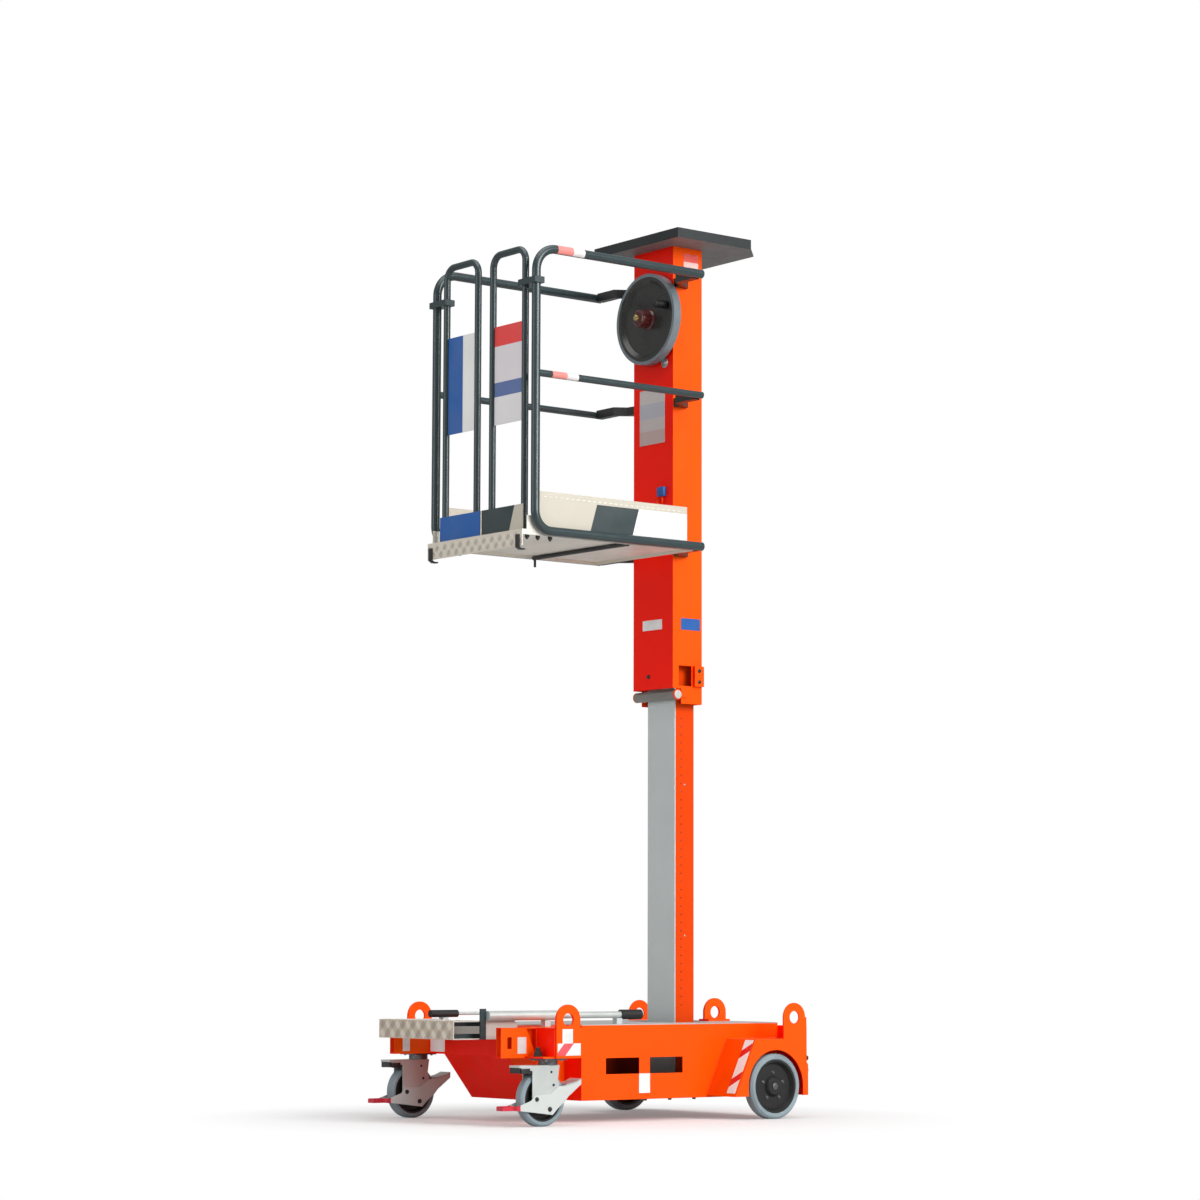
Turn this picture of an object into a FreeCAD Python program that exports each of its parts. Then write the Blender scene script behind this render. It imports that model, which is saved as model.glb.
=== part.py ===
import FreeCAD, Part
import os
import Sketcher

# A push-around vertical mast lift, shown with its platform raised.
# Millimetres. +Z is up and the floor is Z = 0. The entry gates and the castors face -Y,
# the fixed wheels face +Y, and X is left (-) and right (+). The origin is the centre
# of the whole machine's outline on the floor.

# Each row: name, size in millimetres, what it is.
SIZES = (
    # Chassis
    ("chassis_underside", 82, "floor to the underside of the tub"),
    ("chassis_height", 360, "floor to the top edge of the tub"),
    ("chassis_half_width", 309, "centre to the outside of a side plate"),
    ("chassis_wall", 5, "plate thickness of the tub"),
    ("nose_half_width", 205, "centre to the side of the narrow nose"),
    ("nose_front", -478, "front face of the nose"),
    ("nose_foot", -350, "front end of the nose's flat underside"),
    ("nose_break", 245, "height where the slanted front turns upright"),
    ("shoulder_front", -220, "front end of the wide part of the tub"),
    ("chassis_rear", 749, "rear face of the tub"),
    ("slot_front", -104, "front end of the first fork slot"),
    ("slot_length", 160, "length of a fork slot"),
    ("slot_pitch", 212, "from one fork slot to the next"),
    ("slot_bottom", 178, "lower edge of the fork slots"),
    ("slot_height", 60, "height of the fork slots"),
    ("deck_thickness", 4, "deck sheet"),
    ("deck_flange", 50, "depth of the deck's front flange"),
    ("deck_opening_half_width", 165, "half width of the mast's opening in the deck"),
    ("deck_opening_front", 335, "front edge of the mast's opening"),
    ("deck_opening_rear", 538, "rear edge of the mast's opening"),
    # Step
    ("step_half_width", 238, "half width of the entry step"),
    ("step_front", -757, "front face of the step"),
    ("step_depth", 144, "depth of the step"),
    ("step_top", 380, "height of the step"),
    ("step_height", 68, "height of the step's folded sheet"),
    ("step_sheet", 4, "thickness of the step's sheet"),
    ("step_cheek_corner", 15, "clipped upper rear corner of the step's side plates"),
    ("step_post_top", 424, "top of the upright at the step's right end"),
    ("step_post_width", 26, "width of that upright along the machine"),
    ("step_post_thickness", 6, "thickness of that upright"),
    ("step_arm_half_pitch", 182, "centre to a step arm"),
    ("step_arm_width", 34, "width of a step arm"),
    ("step_arm_height", 16, "height of the bars that carry the step"),
    # Castor brackets and lifting eyes
    ("bracket_rear", -330, "rear end of the castor bracket"),
    ("bracket_half_width", 466, "centre to the outside of a castor bracket"),
    ("beam_front", -627, "front end of the open beam"),
    ("beam_outside", 355, "centre to the outside of the open beam"),
    ("beam_width", 30, "width of the open beam"),
    ("bracket_underside", 246, "underside of the castor bracket"),
    ("bracket_top", 356, "top of the castor bracket"),
    ("beam_wall", 4, "wall of the open beam"),
    ("beam_slant", 48, "slant of the outer wall's rear end"),
    ("bracket_plate", 6, "plate under the bracket that carries the castor"),
    ("bracket_plate_margin", 14, "that plate beyond the castor's top plate"),
    ("pin_slot_place", -588, "place of the slot near the beam's end"),
    ("pin_slot_half_width", 10, "half width of that slot"),
    ("pin_slot_half_height", 21, "half height of that slot"),
    ("eye_radius", 55, "outer radius of a lifting eye"),
    ("eye_hole_radius", 24, "hole of a lifting eye"),
    ("eye_thickness", 10, "plate thickness of a lifting eye"),
    ("eye_hole_height", 386, "height of the corner eyes' holes"),
    ("front_eye_place", -410, "centre of a front eye along the machine"),
    ("rear_eye_place", 687, "centre of a rear eye along the machine"),
    ("centre_eye_hole_height", 399, "height of the centre eye's hole"),
    ("centre_eye_foot_height", 8, "thickness of the centre eye's foot"),
    ("centre_eye_foot_half_width", 30, "half width of the centre eye's foot"),
    # Castors
    ("castor_place_y", -455, "castor's swivel axis along the machine"),
    ("castor_inset", 54, "bracket's outside to the castor's swivel axis"),
    ("castor_trail", 35, "swivel axis to wheel axle"),
    ("castor_radius", 100, "castor wheel radius"),
    ("castor_width", 44, "castor wheel width"),
    ("castor_tyre_depth", 18, "thickness of the castor's tyre"),
    ("castor_hub_radius", 24, "hub of a castor wheel"),
    ("castor_hub_edge", 6, "hub's end step below the hub's radius"),
    ("castor_disc", 16, "thickness of a castor wheel's web"),
    ("castor_rim", 6, "thickness of a castor wheel's rim"),
    ("castor_rim_inset", 4, "side of the rim inside the side of the tyre"),
    ("castor_tyre_edge", 7, "chamfer of the castor's tyre"),
    ("castor_plate_half_width", 50, "half width of the castor's top plate"),
    ("castor_plate_thickness", 6, "castor's top plate"),
    ("castor_race_radius", 36, "radius of the swivel bearing"),
    ("castor_race_height", 18, "height of the swivel bearing"),
    ("castor_crown_height", 8, "thickness of the fork's crown plate"),
    ("castor_cheek_gap", 5.5, "wheel's side to the fork's cheek"),
    ("castor_cheek", 3, "thickness of a fork cheek"),
    ("castor_pin_radius", 6, "castor's axle pin"),
    ("pedal_reach", 218, "swivel axis to the pedal's tip"),
    ("pedal_underside", 60, "height of the pedal's underside"),
    ("pedal_thickness", 16, "thickness of the brake pedal"),
    ("pedal_length", 60, "length of the pedal's tread"),
    ("pedal_half_width", 20, "half width of the pedal's tread"),
    ("pedal_arm", 3, "thickness of the brake lever's plates"),
    ("lever_gap", 0.3, "brake lever's plates to the cheeks"),
    ("lever_pivot_radius", 6, "stud that the brake lever turns on"),
    ("brake_block_height", 20, "height of the brake block over the castor's tyre"),
    # Fixed wheels
    ("wheel_radius", 124, "fixed wheel radius"),
    ("wheel_width", 50, "fixed wheel width"),
    ("wheel_place_y", 593, "fixed wheels' axle along the machine"),
    ("wheel_beyond_eyes", 2, "a fixed wheel's outer face beyond the front eyes' plates"),
    ("wheel_tyre_depth", 22, "thickness of the fixed wheel's tyre"),
    ("wheel_disc", 10, "thickness of the wheel's web"),
    ("wheel_rim", 8, "thickness of the fixed wheel's rim"),
    ("wheel_rim_inset", 3, "side of that rim inside the side of the tyre"),
    ("wheel_web_taper", 10, "slope from that rim to the web"),
    ("wheel_tyre_edge", 8, "chamfer of the fixed wheel's tyre"),
    ("axle_radius", 12, "stub axle"),
    ("hub_radius", 34, "hub of the fixed wheel"),
    ("hub_inset", 6, "hub's outer end inside the wheel's face"),
    ("hub_edge", 4, "chamfer of the hub's outer end"),
    ("axle_flange_radius", 34, "flange of the stub axle"),
    ("axle_flange", 8, "thickness of that flange"),
    ("axle_inset", 10, "axle's outer end inside the wheel's face"),
    ("arch_clearance", 14, "wheel to the edge of its arch"),
    ("housing_plate", 6, "plate of the wheel housing"),
    ("housing_top", 303, "top of the wheel housing"),
    ("housing_foot", 88, "lower edge of the wheel housing"),
    ("housing_front_foot", 388, "lower front corner of the housing"),
    ("housing_front_top", 490, "upper front corner of the housing"),
    ("cross_plate_thickness", 8, "rear cross plate"),
    ("cross_plate_top", 352, "top of the rear cross plate between the housings"),
    ("cross_plate_shoulder", 205, "height where the rear cross plate narrows"),
    ("cross_plate_clip", 8, "rear cross plate's upper part inside the housing's outer plate"),
    # Mast
    ("stroke", 1500, "travel of the platform"),
    ("parked_gap", 18, "outer mast to the tub's floor when lowered"),
    ("mast_overlap", 245, "inner mast inside the outer mast when raised"),
    ("mast_length", 1823, "length of the outer mast"),
    ("mast_half_width", 123.5, "half width of the outer mast"),
    ("mast_front", 371, "front face of the outer mast"),
    ("mast_depth", 148, "depth of the outer mast"),
    ("mast_wall", 4, "wall of the outer mast"),
    ("inner_half_width", 83.5, "half width of the inner mast"),
    ("inner_front", 413, "front face of the inner mast"),
    ("inner_depth", 97, "depth of the inner mast with its front strip"),
    ("inner_wall", 5, "wall of the inner mast"),
    ("strip_thickness", 5, "grey front strip of the inner mast"),
    ("roller_radius", 20, "guide roller at the mouth of the outer mast"),
    ("roller_height", 35, "roller axis above the outer mast's lower end"),
    ("mouth_height", 60, "cut-out for the roller"),
    ("roller_cap", 5, "thickness of the roller's end caps"),
    ("roller_tab_length", 24, "roller's end caps on the mast's side, beyond its front"),
    ("pad_clearance", 0.5, "guide pads and roller to the inner mast"),
    ("pad_height", 50, "height of a guide pad"),
    ("pad_half_width", 40, "half width of a front or rear guide pad"),
    ("pad_inset", 25, "guide pads from the corners of the inner mast"),
    ("pad_lift", 4, "lowest guide pads above the outer mast's lower end"),
    ("lug_front", 472, "front of the lug on the mast's side"),
    ("lug_thickness", 14, "thickness of that lug"),
    ("lug_bottom", 70, "lug above the outer mast's lower end"),
    ("lug_height", 80, "height of that lug"),
    ("window_front", 401, "front edge of the window beside the lug"),
    ("window_rear", 466, "rear edge of that window"),
    ("tray_half_width", 266, "half width of the tool tray"),
    ("tray_front", 278, "front edge of the tool tray"),
    ("tray_length", 476, "length of the tool tray"),
    ("tray_rim", 39, "height of the tool tray"),
    ("tray_sheet", 3, "thickness of the tray's sheet"),
    ("tray_clip", 97, "clipped rear corners of the tray"),
    # Platform
    ("floor_above_mast_foot", 599, "outer mast's lower end to the top of the floor"),
    ("floor_thickness", 8, "platform floor"),
    ("floor_flange", 12, "depth of the floor's side and rear flanges"),
    ("floor_corner_front", -484, "front edge of the floor's corner plates"),
    ("floor_corner_length", 84, "length of the floor's corner plates"),
    ("floor_corner_rise", 53, "corner plates above the floor"),
    ("floor_half_width", 304.8, "half width of the floor"),
    ("floor_front", -507, "front edge of the floor"),
    ("lip_height", 64, "height of the floor's front lip"),
    ("lip_thickness", 4, "thickness of the front lip"),
    ("rail_radius", 16.85, "guard rail tube"),
    ("mid_rail_radius", 13.45, "middle guard rail"),
    ("rail_half_width", 322, "centre to a guard rail's axis"),
    ("post_place", -459, "front posts along the machine"),
    ("rail_rear", 354, "rear ends of the guard rails"),
    ("top_rail_rise", 1075, "floor to the top rail's axis"),
    ("mid_rail_rise", 594, "floor to the middle rail's axis"),
    ("low_rail_drop", 2, "floor to the lower rail's axis, downwards"),
    ("upper_bend_radius", 90, "bend radius at the top of the front post"),
    ("lower_bend_radius", 75, "bend radius at the foot of the front post"),
    ("toe_board_height", 150, "height of the toe boards"),
    ("toe_board", 3, "thickness of a toe board"),
    ("toe_board_inset", 300, "centre to the outside of a toe board"),
    ("toe_board_return", 18, "folded front end of a toe board"),
    ("toe_board_front", -429, "front end of a toe board"),
    ("toe_board_rear", 297, "rear end of a toe board"),
    ("rail_bracket_height", 34, "height of a rail bracket"),
    ("rail_bracket_depth", 30, "depth of a rail bracket's arm"),
    ("rail_bracket_foot", 64, "length of its foot along the mast"),
    ("rail_bracket_plate", 12, "thickness of its foot"),
    ("rod_radius", 8.5, "rod under the floor"),
    ("rod_place", 4, "that rod along the machine"),
    ("rod_pin_drop", 45, "pin at the end of the rod, below the floor"),
    ("rod_pin_radius", 5, "radius of that pin"),
    # Gates
    ("gate_tube_radius", 13.45, "gate tube"),
    ("gate_hinge_place", 255, "centre to a gate's hinge axis"),
    ("gate_free_place", 49, "centre to a gate's free upright"),
    ("gate_top_rise", 1081, "floor to the gate's top tube axis"),
    ("gate_bend", 48, "bend radius of the gate tube"),
    ("gate_gap", 5, "gate to the floor, and half the gap between the gates"),
    ("gate_foot_rise", 6, "floor to the foot of the gate's tubes"),
    ("kick_height", 96, "height of the gate's kick plate"),
    ("kick_plate", 3, "thickness of the kick plate"),
    ("kick_overlap", 13, "kick plate beyond the hinge axis"),
    ("panel_bottom_rise", 423, "floor to the gate panel's lower edge"),
    ("panel_height", 380, "height of the gate panel"),
    ("panel_thickness", 3, "thickness of the gate panel"),
    ("hinge_rise", 934, "floor to the underside of the gate's upper hinge"),
    ("hinge_height", 24, "height of the gate's upper hinge"),
    ("hinge_half_depth", 22, "half depth of the gate's hinge block"),
    ("hinge_wall", 6, "wall of the hinge block round the tubes"),
    ("hinge_clearance", 0.5, "hinge block to the gate's tube"),
    # Hand wheel
    ("hand_wheel_rise", 941, "floor to the hand wheel's axis"),
    ("hand_wheel_radius", 183, "hand wheel radius"),
    ("hand_wheel_rim", 35, "depth of the hand wheel's rim"),
    ("hand_wheel_web", 20, "disc in front of the hand wheel's rear edge"),
    ("hand_wheel_flat", 26, "width of the rim's front face"),
    ("hand_wheel_dish", 14, "width of the slope from the rim to the disc"),
    ("hand_wheel_gap", 8, "hand wheel to the mast"),
    ("hand_wheel_sheet", 3, "thickness of the hand wheel's disc"),
    ("hand_wheel_hub", 26, "radius of the hand wheel's hub"),
    ("hand_wheel_boss", 34, "radius of the boss behind the disc"),
    ("hand_wheel_hub_front", 288, "front end of the hub"),
    ("hand_wheel_shaft", 12, "radius of the drive shaft"),
    ("knob_place", 116, "hand wheel's axis to its knob, across the machine"),
    ("knob_rise", 42, "knob above the hand wheel's axis"),
    ("knob_radius", 16, "radius of the knob"),
    ("knob_length", 52, "length of the knob"),
    # Struts on the deck
    ("strut_half_pitch", 250, "centre to a deck strut"),
    ("strut_height", 398, "height of the struts' axes"),
    ("strut_tube_radius", 18, "thick tube of a strut"),
    ("strut_rod_radius", 12.5, "thin rod of a strut"),
    ("strut_sleeve_radius", 19, "black sleeve of a strut"),
    ("left_rod_radius", 6, "thin rod of the left strut"),
    ("left_sleeve_radius", 14, "sleeve of the left strut"),
    ("strut_tube_rear", -295, "rear end of the right strut's thick tube"),
    ("strut_sleeve_front", 10, "front end of the right strut's sleeve"),
    ("strut_sleeve_length", 97, "length of a sleeve"),
    ("left_strut_front", -516, "front end of the left strut"),
    ("left_sleeve_length", 126, "length of the left strut's sleeve"),
    ("left_strut_rear", -115, "rear end of the left strut"),
    ("saddle_width", 26, "width of the blocks under the struts"),
    # Fits
    ("seat_gap", 0.3, "curved pieces that seat in each other"),
    ("running_gap", 0.05, "pins and axles in their bores"),
    ("cut_margin", 10, "how far a cut passes beyond what it cuts"),
)

document = FreeCAD.newDocument("mast_lift")
sheet = document.addObject("Spreadsheet::Sheet", "sizes")


class Size:
    """A length with its value and the spreadsheet expression that gives it."""

    def __init__(self, value, text):
        self.value = float(value)
        self.text = text

    def __add__(self, other):
        other = as_size(other)
        return Size(self.value + other.value, "(%s + %s)" % (self.text, other.text))

    def __radd__(self, other):
        return as_size(other) + self

    def __sub__(self, other):
        other = as_size(other)
        return Size(self.value - other.value, "(%s - %s)" % (self.text, other.text))

    def __rsub__(self, other):
        return as_size(other) - self

    def __mul__(self, other):
        other = as_size(other)
        return Size(self.value * other.value, "(%s * %s)" % (self.text, other.text))

    def __rmul__(self, other):
        return as_size(other) * self

    def __truediv__(self, other):
        other = as_size(other)
        return Size(self.value / other.value, "(%s / %s)" % (self.text, other.text))

    def __neg__(self):
        return Size(-self.value, "(0 - %s)" % self.text)


def as_size(number):
    """Return number as a Size."""
    if isinstance(number, Size):
        return number
    return Size(number, repr(number))


class Named:
    """The driving sizes, one attribute for each row of SIZES."""


s = Named()
for row, (name, value, meaning) in enumerate(SIZES, start=1):
    sheet.set("A%d" % row, str(value))
    sheet.setAlias("A%d" % row, name)
    sheet.set("B%d" % row, meaning)
    setattr(s, name, Size(value, "sizes." + name))
document.recompute()

nodes = {}


def keep(name, item):
    """Register item as the sub-part called name."""
    item.Label = name
    nodes[name] = item
    return item


def keep_pair(name, right):
    """Register the right piece and its mirror image as one sub-part."""
    return keep(name, fuse(name, [right, mirrored(name + "_mirror", right)]))


def bind(item, prop, size):
    """Tie a property of item to a size."""
    item.setExpression(prop, as_size(size).text)


def place(item, x, y, z):
    """Tie the place of item to three sizes."""
    bind(item, "Placement.Base.x", x)
    bind(item, "Placement.Base.y", y)
    bind(item, "Placement.Base.z", z)


def box(name, x, y, z):
    """A block between the low and high sizes of each axis."""
    item = document.addObject("Part::Box", name)
    bind(item, "Length", x[1] - x[0])
    bind(item, "Width", y[1] - y[0])
    bind(item, "Height", z[1] - z[0])
    place(item, x[0], y[0], z[0])
    return item


TURNS = {
    "X": FreeCAD.Rotation(FreeCAD.Vector(0, 1, 0), 90),
    "Y": FreeCAD.Rotation(FreeCAD.Vector(1, 0, 0), -90),
    "Z": FreeCAD.Rotation(),
}


def cylinder(name, axis, start, length, radius):
    """A round bar from the point start along an axis."""
    item = document.addObject("Part::Cylinder", name)
    item.Placement = FreeCAD.Placement(FreeCAD.Vector(), TURNS[axis])
    bind(item, "Radius", radius)
    bind(item, "Height", length)
    place(item, *start)
    return item


def fuse(name, items):
    """Items joined, or kept side by side where they don't touch."""
    item = document.addObject("Part::MultiFuse", name)
    item.Shapes = items
    item.Refine = True
    return item


def mirrored(name, source):
    """A copy of source on the other side of the machine."""
    item = document.addObject("Part::Mirroring", name)
    item.Source = source
    item.Normal = FreeCAD.Vector(1, 0, 0)
    return item


def new_body(name):
    """An empty body."""
    return document.addObject("PartDesign::Body", name)


def origin_plane(body, role):
    """The origin plane of body with that role, such as XY_Plane."""
    return [item for item in body.Origin.OriginFeatures if item.Role == role][0]


def new_sketch(body, plane, offset):
    """A sketch on an origin plane of body, moved along the plane's normal."""
    number = len([item for item in body.Group if item.isDerivedFrom("Sketcher::SketchObject")])
    sketch = body.newObject("Sketcher::SketchObject", "%s_sketch_%d" % (body.Name, number))
    sketch.AttachmentSupport = [(origin_plane(body, plane + "_Plane"), "")]
    sketch.MapMode = "FlatFace"
    bind(sketch, "AttachmentOffset.Base.z", offset)
    return sketch


def fix_point(sketch, geometry, point, place_of):
    """Tie a point of the sketch to its two coordinates."""
    for kind, size in zip(("DistanceX", "DistanceY"), place_of):
        size = as_size(size)
        number = sketch.addConstraint(Sketcher.Constraint(kind, -1, 1, geometry, point, size.value))
        bind(sketch, "Constraints[%d]" % number, size)


def draw_polygon(sketch, corners):
    """A closed outline through corners, each a pair of sizes."""
    first = sketch.GeometryCount
    count = len(corners)
    points = [FreeCAD.Vector(as_size(u).value, as_size(v).value, 0) for u, v in corners]
    for index in range(count):
        sketch.addGeometry(Part.LineSegment(points[index], points[(index + 1) % count]), False)
    for index in range(count):
        following = first + (index + 1) % count
        sketch.addConstraint(Sketcher.Constraint("Coincident", first + index, 2, following, 1))
    for index, corner in enumerate(corners):
        fix_point(sketch, first + index, 1, corner)


def draw_circle(sketch, centre, radius):
    """A circle with its centre and radius tied to sizes."""
    radius = as_size(radius)
    middle = FreeCAD.Vector(as_size(centre[0]).value, as_size(centre[1]).value, 0)
    normal = FreeCAD.Vector(0, 0, 1)
    geometry = sketch.addGeometry(Part.Circle(middle, normal, radius.value), False)
    fix_point(sketch, geometry, 3, centre)
    number = sketch.addConstraint(Sketcher.Constraint("Radius", geometry, radius.value))
    bind(sketch, "Constraints[%d]" % number, radius)


def draw_arch(sketch, centre, radius, foot):
    """An upright outline with a flat foot and a half round top about centre."""
    left, right = centre[0] - radius, centre[0] + radius
    corners = ((right, foot), (right, centre[1]), (left, centre[1]), (left, foot))
    points = [FreeCAD.Vector(u.value, as_size(v).value, 0) for u, v in corners]
    top = FreeCAD.Vector(centre[0].value, centre[1].value + radius.value, 0)
    first = sketch.GeometryCount
    sketch.addGeometry(Part.LineSegment(points[0], points[1]), False)
    sketch.addGeometry(Part.Arc(points[1], top, points[2]), False)
    sketch.addGeometry(Part.LineSegment(points[2], points[3]), False)
    sketch.addGeometry(Part.LineSegment(points[3], points[0]), False)
    for pair in ((0, 2, 1, 1), (1, 2, 2, 1), (2, 2, 3, 1), (3, 2, 0, 1)):
        sketch.addConstraint(Sketcher.Constraint("Coincident", first + pair[0], pair[1],
                                                 first + pair[2], pair[3]))
    fix_point(sketch, first, 1, corners[0])
    fix_point(sketch, first, 2, corners[1])
    fix_point(sketch, first + 2, 1, corners[2])
    fix_point(sketch, first + 2, 2, corners[3])
    number = sketch.addConstraint(Sketcher.Constraint("DistanceY", -1, 1, first + 1, 3,
                                                      centre[1].value))
    bind(sketch, "Constraints[%d]" % number, centre[1])


def span(plane, low, high, pad):
    """Sketch offset for a pad or pocket from low to high along the axis across plane."""
    if plane == "XZ":
        return -as_size(high) if pad else -as_size(low)
    return low if pad else high


def add(body, kind, plane, low, high, outlines=(), circles=(), arches=()):
    """Pad or pocket body between low and high, with outlines, circles and arches in plane."""
    is_pad = kind == "Pad"
    sketch = new_sketch(body, plane, span(plane, low, high, is_pad))
    for corners in outlines:
        draw_polygon(sketch, corners)
    for centre, radius in circles:
        draw_circle(sketch, centre, radius)
    for centre, radius, foot in arches:
        draw_arch(sketch, centre, radius, foot)
    feature = body.newObject("PartDesign::" + kind, "%s_%s_%d" % (body.Name, kind, len(body.Group)))
    feature.Profile = sketch
    bind(feature, "Length", as_size(high) - low)
    document.recompute()
    return feature


def rectangle(u, v):
    """The four corners between two pairs of sizes."""
    return [(u[0], v[0]), (u[1], v[0]), (u[1], v[1]), (u[0], v[1])]


def revolved(name, plane, corners, axis):
    """A body turned from an outline about a sketch axis, H_Axis or V_Axis."""
    body = new_body(name)
    sketch = new_sketch(body, plane, 0)
    draw_polygon(sketch, corners)
    feature = body.newObject("PartDesign::Revolution", name + "_turn")
    feature.Profile = sketch
    feature.ReferenceAxis = (sketch, [axis])
    feature.Angle = 360
    document.recompute()
    return body


# Derived places that several pieces share.
mast_foot = s.chassis_underside + s.chassis_wall + s.parked_gap + s.stroke
mast_top = mast_foot + s.mast_length
floor_top = mast_foot + s.floor_above_mast_foot
floor_under = floor_top - s.floor_thickness
mast_rear = s.mast_front + s.mast_depth
inner_rear = s.inner_front + s.inner_depth
deck_top = s.chassis_height + s.deck_thickness
wheel_outer_face = s.bracket_half_width + s.eye_thickness + s.wheel_beyond_eyes


def chassis_outline():
    """Plan of the tub: a narrow nose between the castors and a wide rear part."""
    return [
        (-s.nose_half_width, s.nose_front), (s.nose_half_width, s.nose_front),
        (s.nose_half_width, s.shoulder_front), (s.chassis_half_width, s.shoulder_front),
        (s.chassis_half_width, s.chassis_rear), (-s.chassis_half_width, s.chassis_rear),
        (-s.chassis_half_width, s.shoulder_front), (-s.nose_half_width, s.shoulder_front),
    ]


def make_chassis():
    """Welded tub with a slanted nose, fork slots, an open top and a deck sheet."""
    tub = new_body("chassis_tub")
    add(tub, "Pad", "XY", s.chassis_underside, s.chassis_height, [chassis_outline()])
    half = s.chassis_half_width + s.cut_margin
    under_nose = [
        (s.nose_front - s.cut_margin, s.chassis_underside - s.cut_margin),
        (s.nose_foot, s.chassis_underside - s.cut_margin),
        (s.nose_foot, s.chassis_underside),
        (s.nose_front, s.nose_break),
        (s.nose_front - s.cut_margin, s.nose_break),
    ]
    nose = add(tub, "Pocket", "YZ", -half, half, [under_nose])
    top = nose.Shape.BoundBox.ZMax
    lid = [index for index, face in enumerate(nose.Shape.Faces, start=1)
           if abs(face.BoundBox.ZMin - top) < 0.001][0]
    shell = tub.newObject("PartDesign::Thickness", "chassis_tub_shell")
    shell.Base = (nose, ["Face%d" % lid])
    shell.Reversed = True
    bind(shell, "Value", s.chassis_wall)
    document.recompute()
    slots = []
    for number in range(2):
        front = s.slot_front + s.slot_pitch * number
        slots.append(rectangle((front, front + s.slot_length),
                               (s.slot_bottom, s.slot_bottom + s.slot_height)))
    add(tub, "Pocket", "YZ", -half, half, slots)
    keep("chassis_tub", tub)

    deck = new_body("deck_plate")
    opening = rectangle((-s.deck_opening_half_width, s.deck_opening_half_width),
                        (s.deck_opening_front, s.deck_opening_rear))
    add(deck, "Pad", "XY", s.chassis_height, deck_top, [chassis_outline(), opening])
    flange = rectangle((-s.nose_half_width, s.nose_half_width),
                       (s.nose_front - s.deck_thickness, s.nose_front))
    add(deck, "Pad", "XY", deck_top - s.deck_flange, deck_top, [flange])
    keep("deck_plate", deck)


def make_step():
    """Folded entry step with side plates, on flat arms, and an upright at its right end."""
    rear = s.step_front + s.step_depth
    bottom = s.step_top - s.step_height
    step = new_body("entry_step")
    fold = [
        (rear, bottom), (rear, bottom + s.step_sheet),
        (s.step_front + s.step_sheet, bottom + s.step_sheet),
        (s.step_front + s.step_sheet, s.step_top - s.step_sheet),
        (rear, s.step_top - s.step_sheet), (rear, s.step_top),
        (s.step_front, s.step_top), (s.step_front, bottom),
    ]
    add(step, "Pad", "YZ", -s.step_half_width, s.step_half_width, [fold])
    cheek_rear = s.front_eye_place - s.eye_radius
    cheek = [
        (rear, bottom), (cheek_rear, bottom),
        (cheek_rear, s.step_top - s.step_cheek_corner),
        (cheek_rear - s.step_cheek_corner, s.step_top), (rear, s.step_top),
    ]
    for low in (-s.step_half_width, s.step_half_width - s.step_sheet):
        add(step, "Pad", "YZ", low, low + s.step_sheet, [cheek])
    keep("entry_step", step)
    arms = []
    for side in (-1, 1):
        middle = s.step_arm_half_pitch * side
        for level, low in enumerate((bottom + s.step_sheet,
                                     s.step_top - s.step_sheet - s.step_arm_height)):
            arms.append(box("step_arm_%d_%d" % (side + 1, level),
                            (middle - s.step_arm_width / 2, middle + s.step_arm_width / 2),
                            (s.step_front + s.step_sheet, s.nose_front - s.deck_thickness),
                            (low, low + s.step_arm_height)))
    edge = s.step_half_width
    arms.append(box("step_post", (edge, edge + s.step_post_thickness),
                    (rear - s.step_post_width, rear), (bottom, s.step_post_top)))
    keep("step_arms", fuse("step_arms", arms))


def make_bracket():
    """Castor bracket: a mounting box, a plate over the castor and an open-ended beam."""
    body = new_body("castor_bracket_right")
    inside = s.beam_outside - s.beam_width
    low, high = s.bracket_underside, s.bracket_top
    box_front = s.front_eye_place - s.eye_radius
    plate_front = s.castor_place_y - s.castor_plate_half_width - s.bracket_plate_margin
    add(body, "Pad", "XY", low, high,
        [rectangle((s.nose_half_width, s.bracket_half_width), (box_front, s.bracket_rear))])
    add(body, "Pad", "XY", low, high,
        [rectangle((inside, s.beam_outside), (s.beam_front, box_front))])
    add(body, "Pad", "XY", low, low + s.bracket_plate,
        [rectangle((inside, s.bracket_half_width), (plate_front, box_front))])
    socket = rectangle((inside + s.beam_wall, s.beam_outside - s.beam_wall),
                       (low + s.bracket_plate, high - s.beam_wall))
    add(body, "Pocket", "XZ", s.beam_front, box_front, [socket])
    slant = [(box_front - s.beam_slant, high), (box_front, high), (box_front, low + s.bracket_plate)]
    add(body, "Pocket", "YZ", s.beam_outside - s.beam_wall, s.beam_outside, [slant])
    middle = (low + high) / 2
    slot = rectangle((s.pin_slot_place - s.pin_slot_half_width,
                      s.pin_slot_place + s.pin_slot_half_width),
                     (middle - s.pin_slot_half_height, middle + s.pin_slot_half_height))
    add(body, "Pocket", "YZ", s.beam_outside - s.beam_wall, s.beam_outside, [slot])
    keep_pair("castor_brackets", body)


def eye(name, plane_low, plane_high, centre_y, centre_z, foot):
    """A lifting eye: an upright plate with a round top and a hole."""
    body = new_body(name)
    centre = (centre_y, centre_z)
    add(body, "Pad", "YZ", plane_low, plane_high, circles=[(centre, s.eye_hole_radius)],
        arches=[(centre, s.eye_radius, foot)])
    return body


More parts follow.
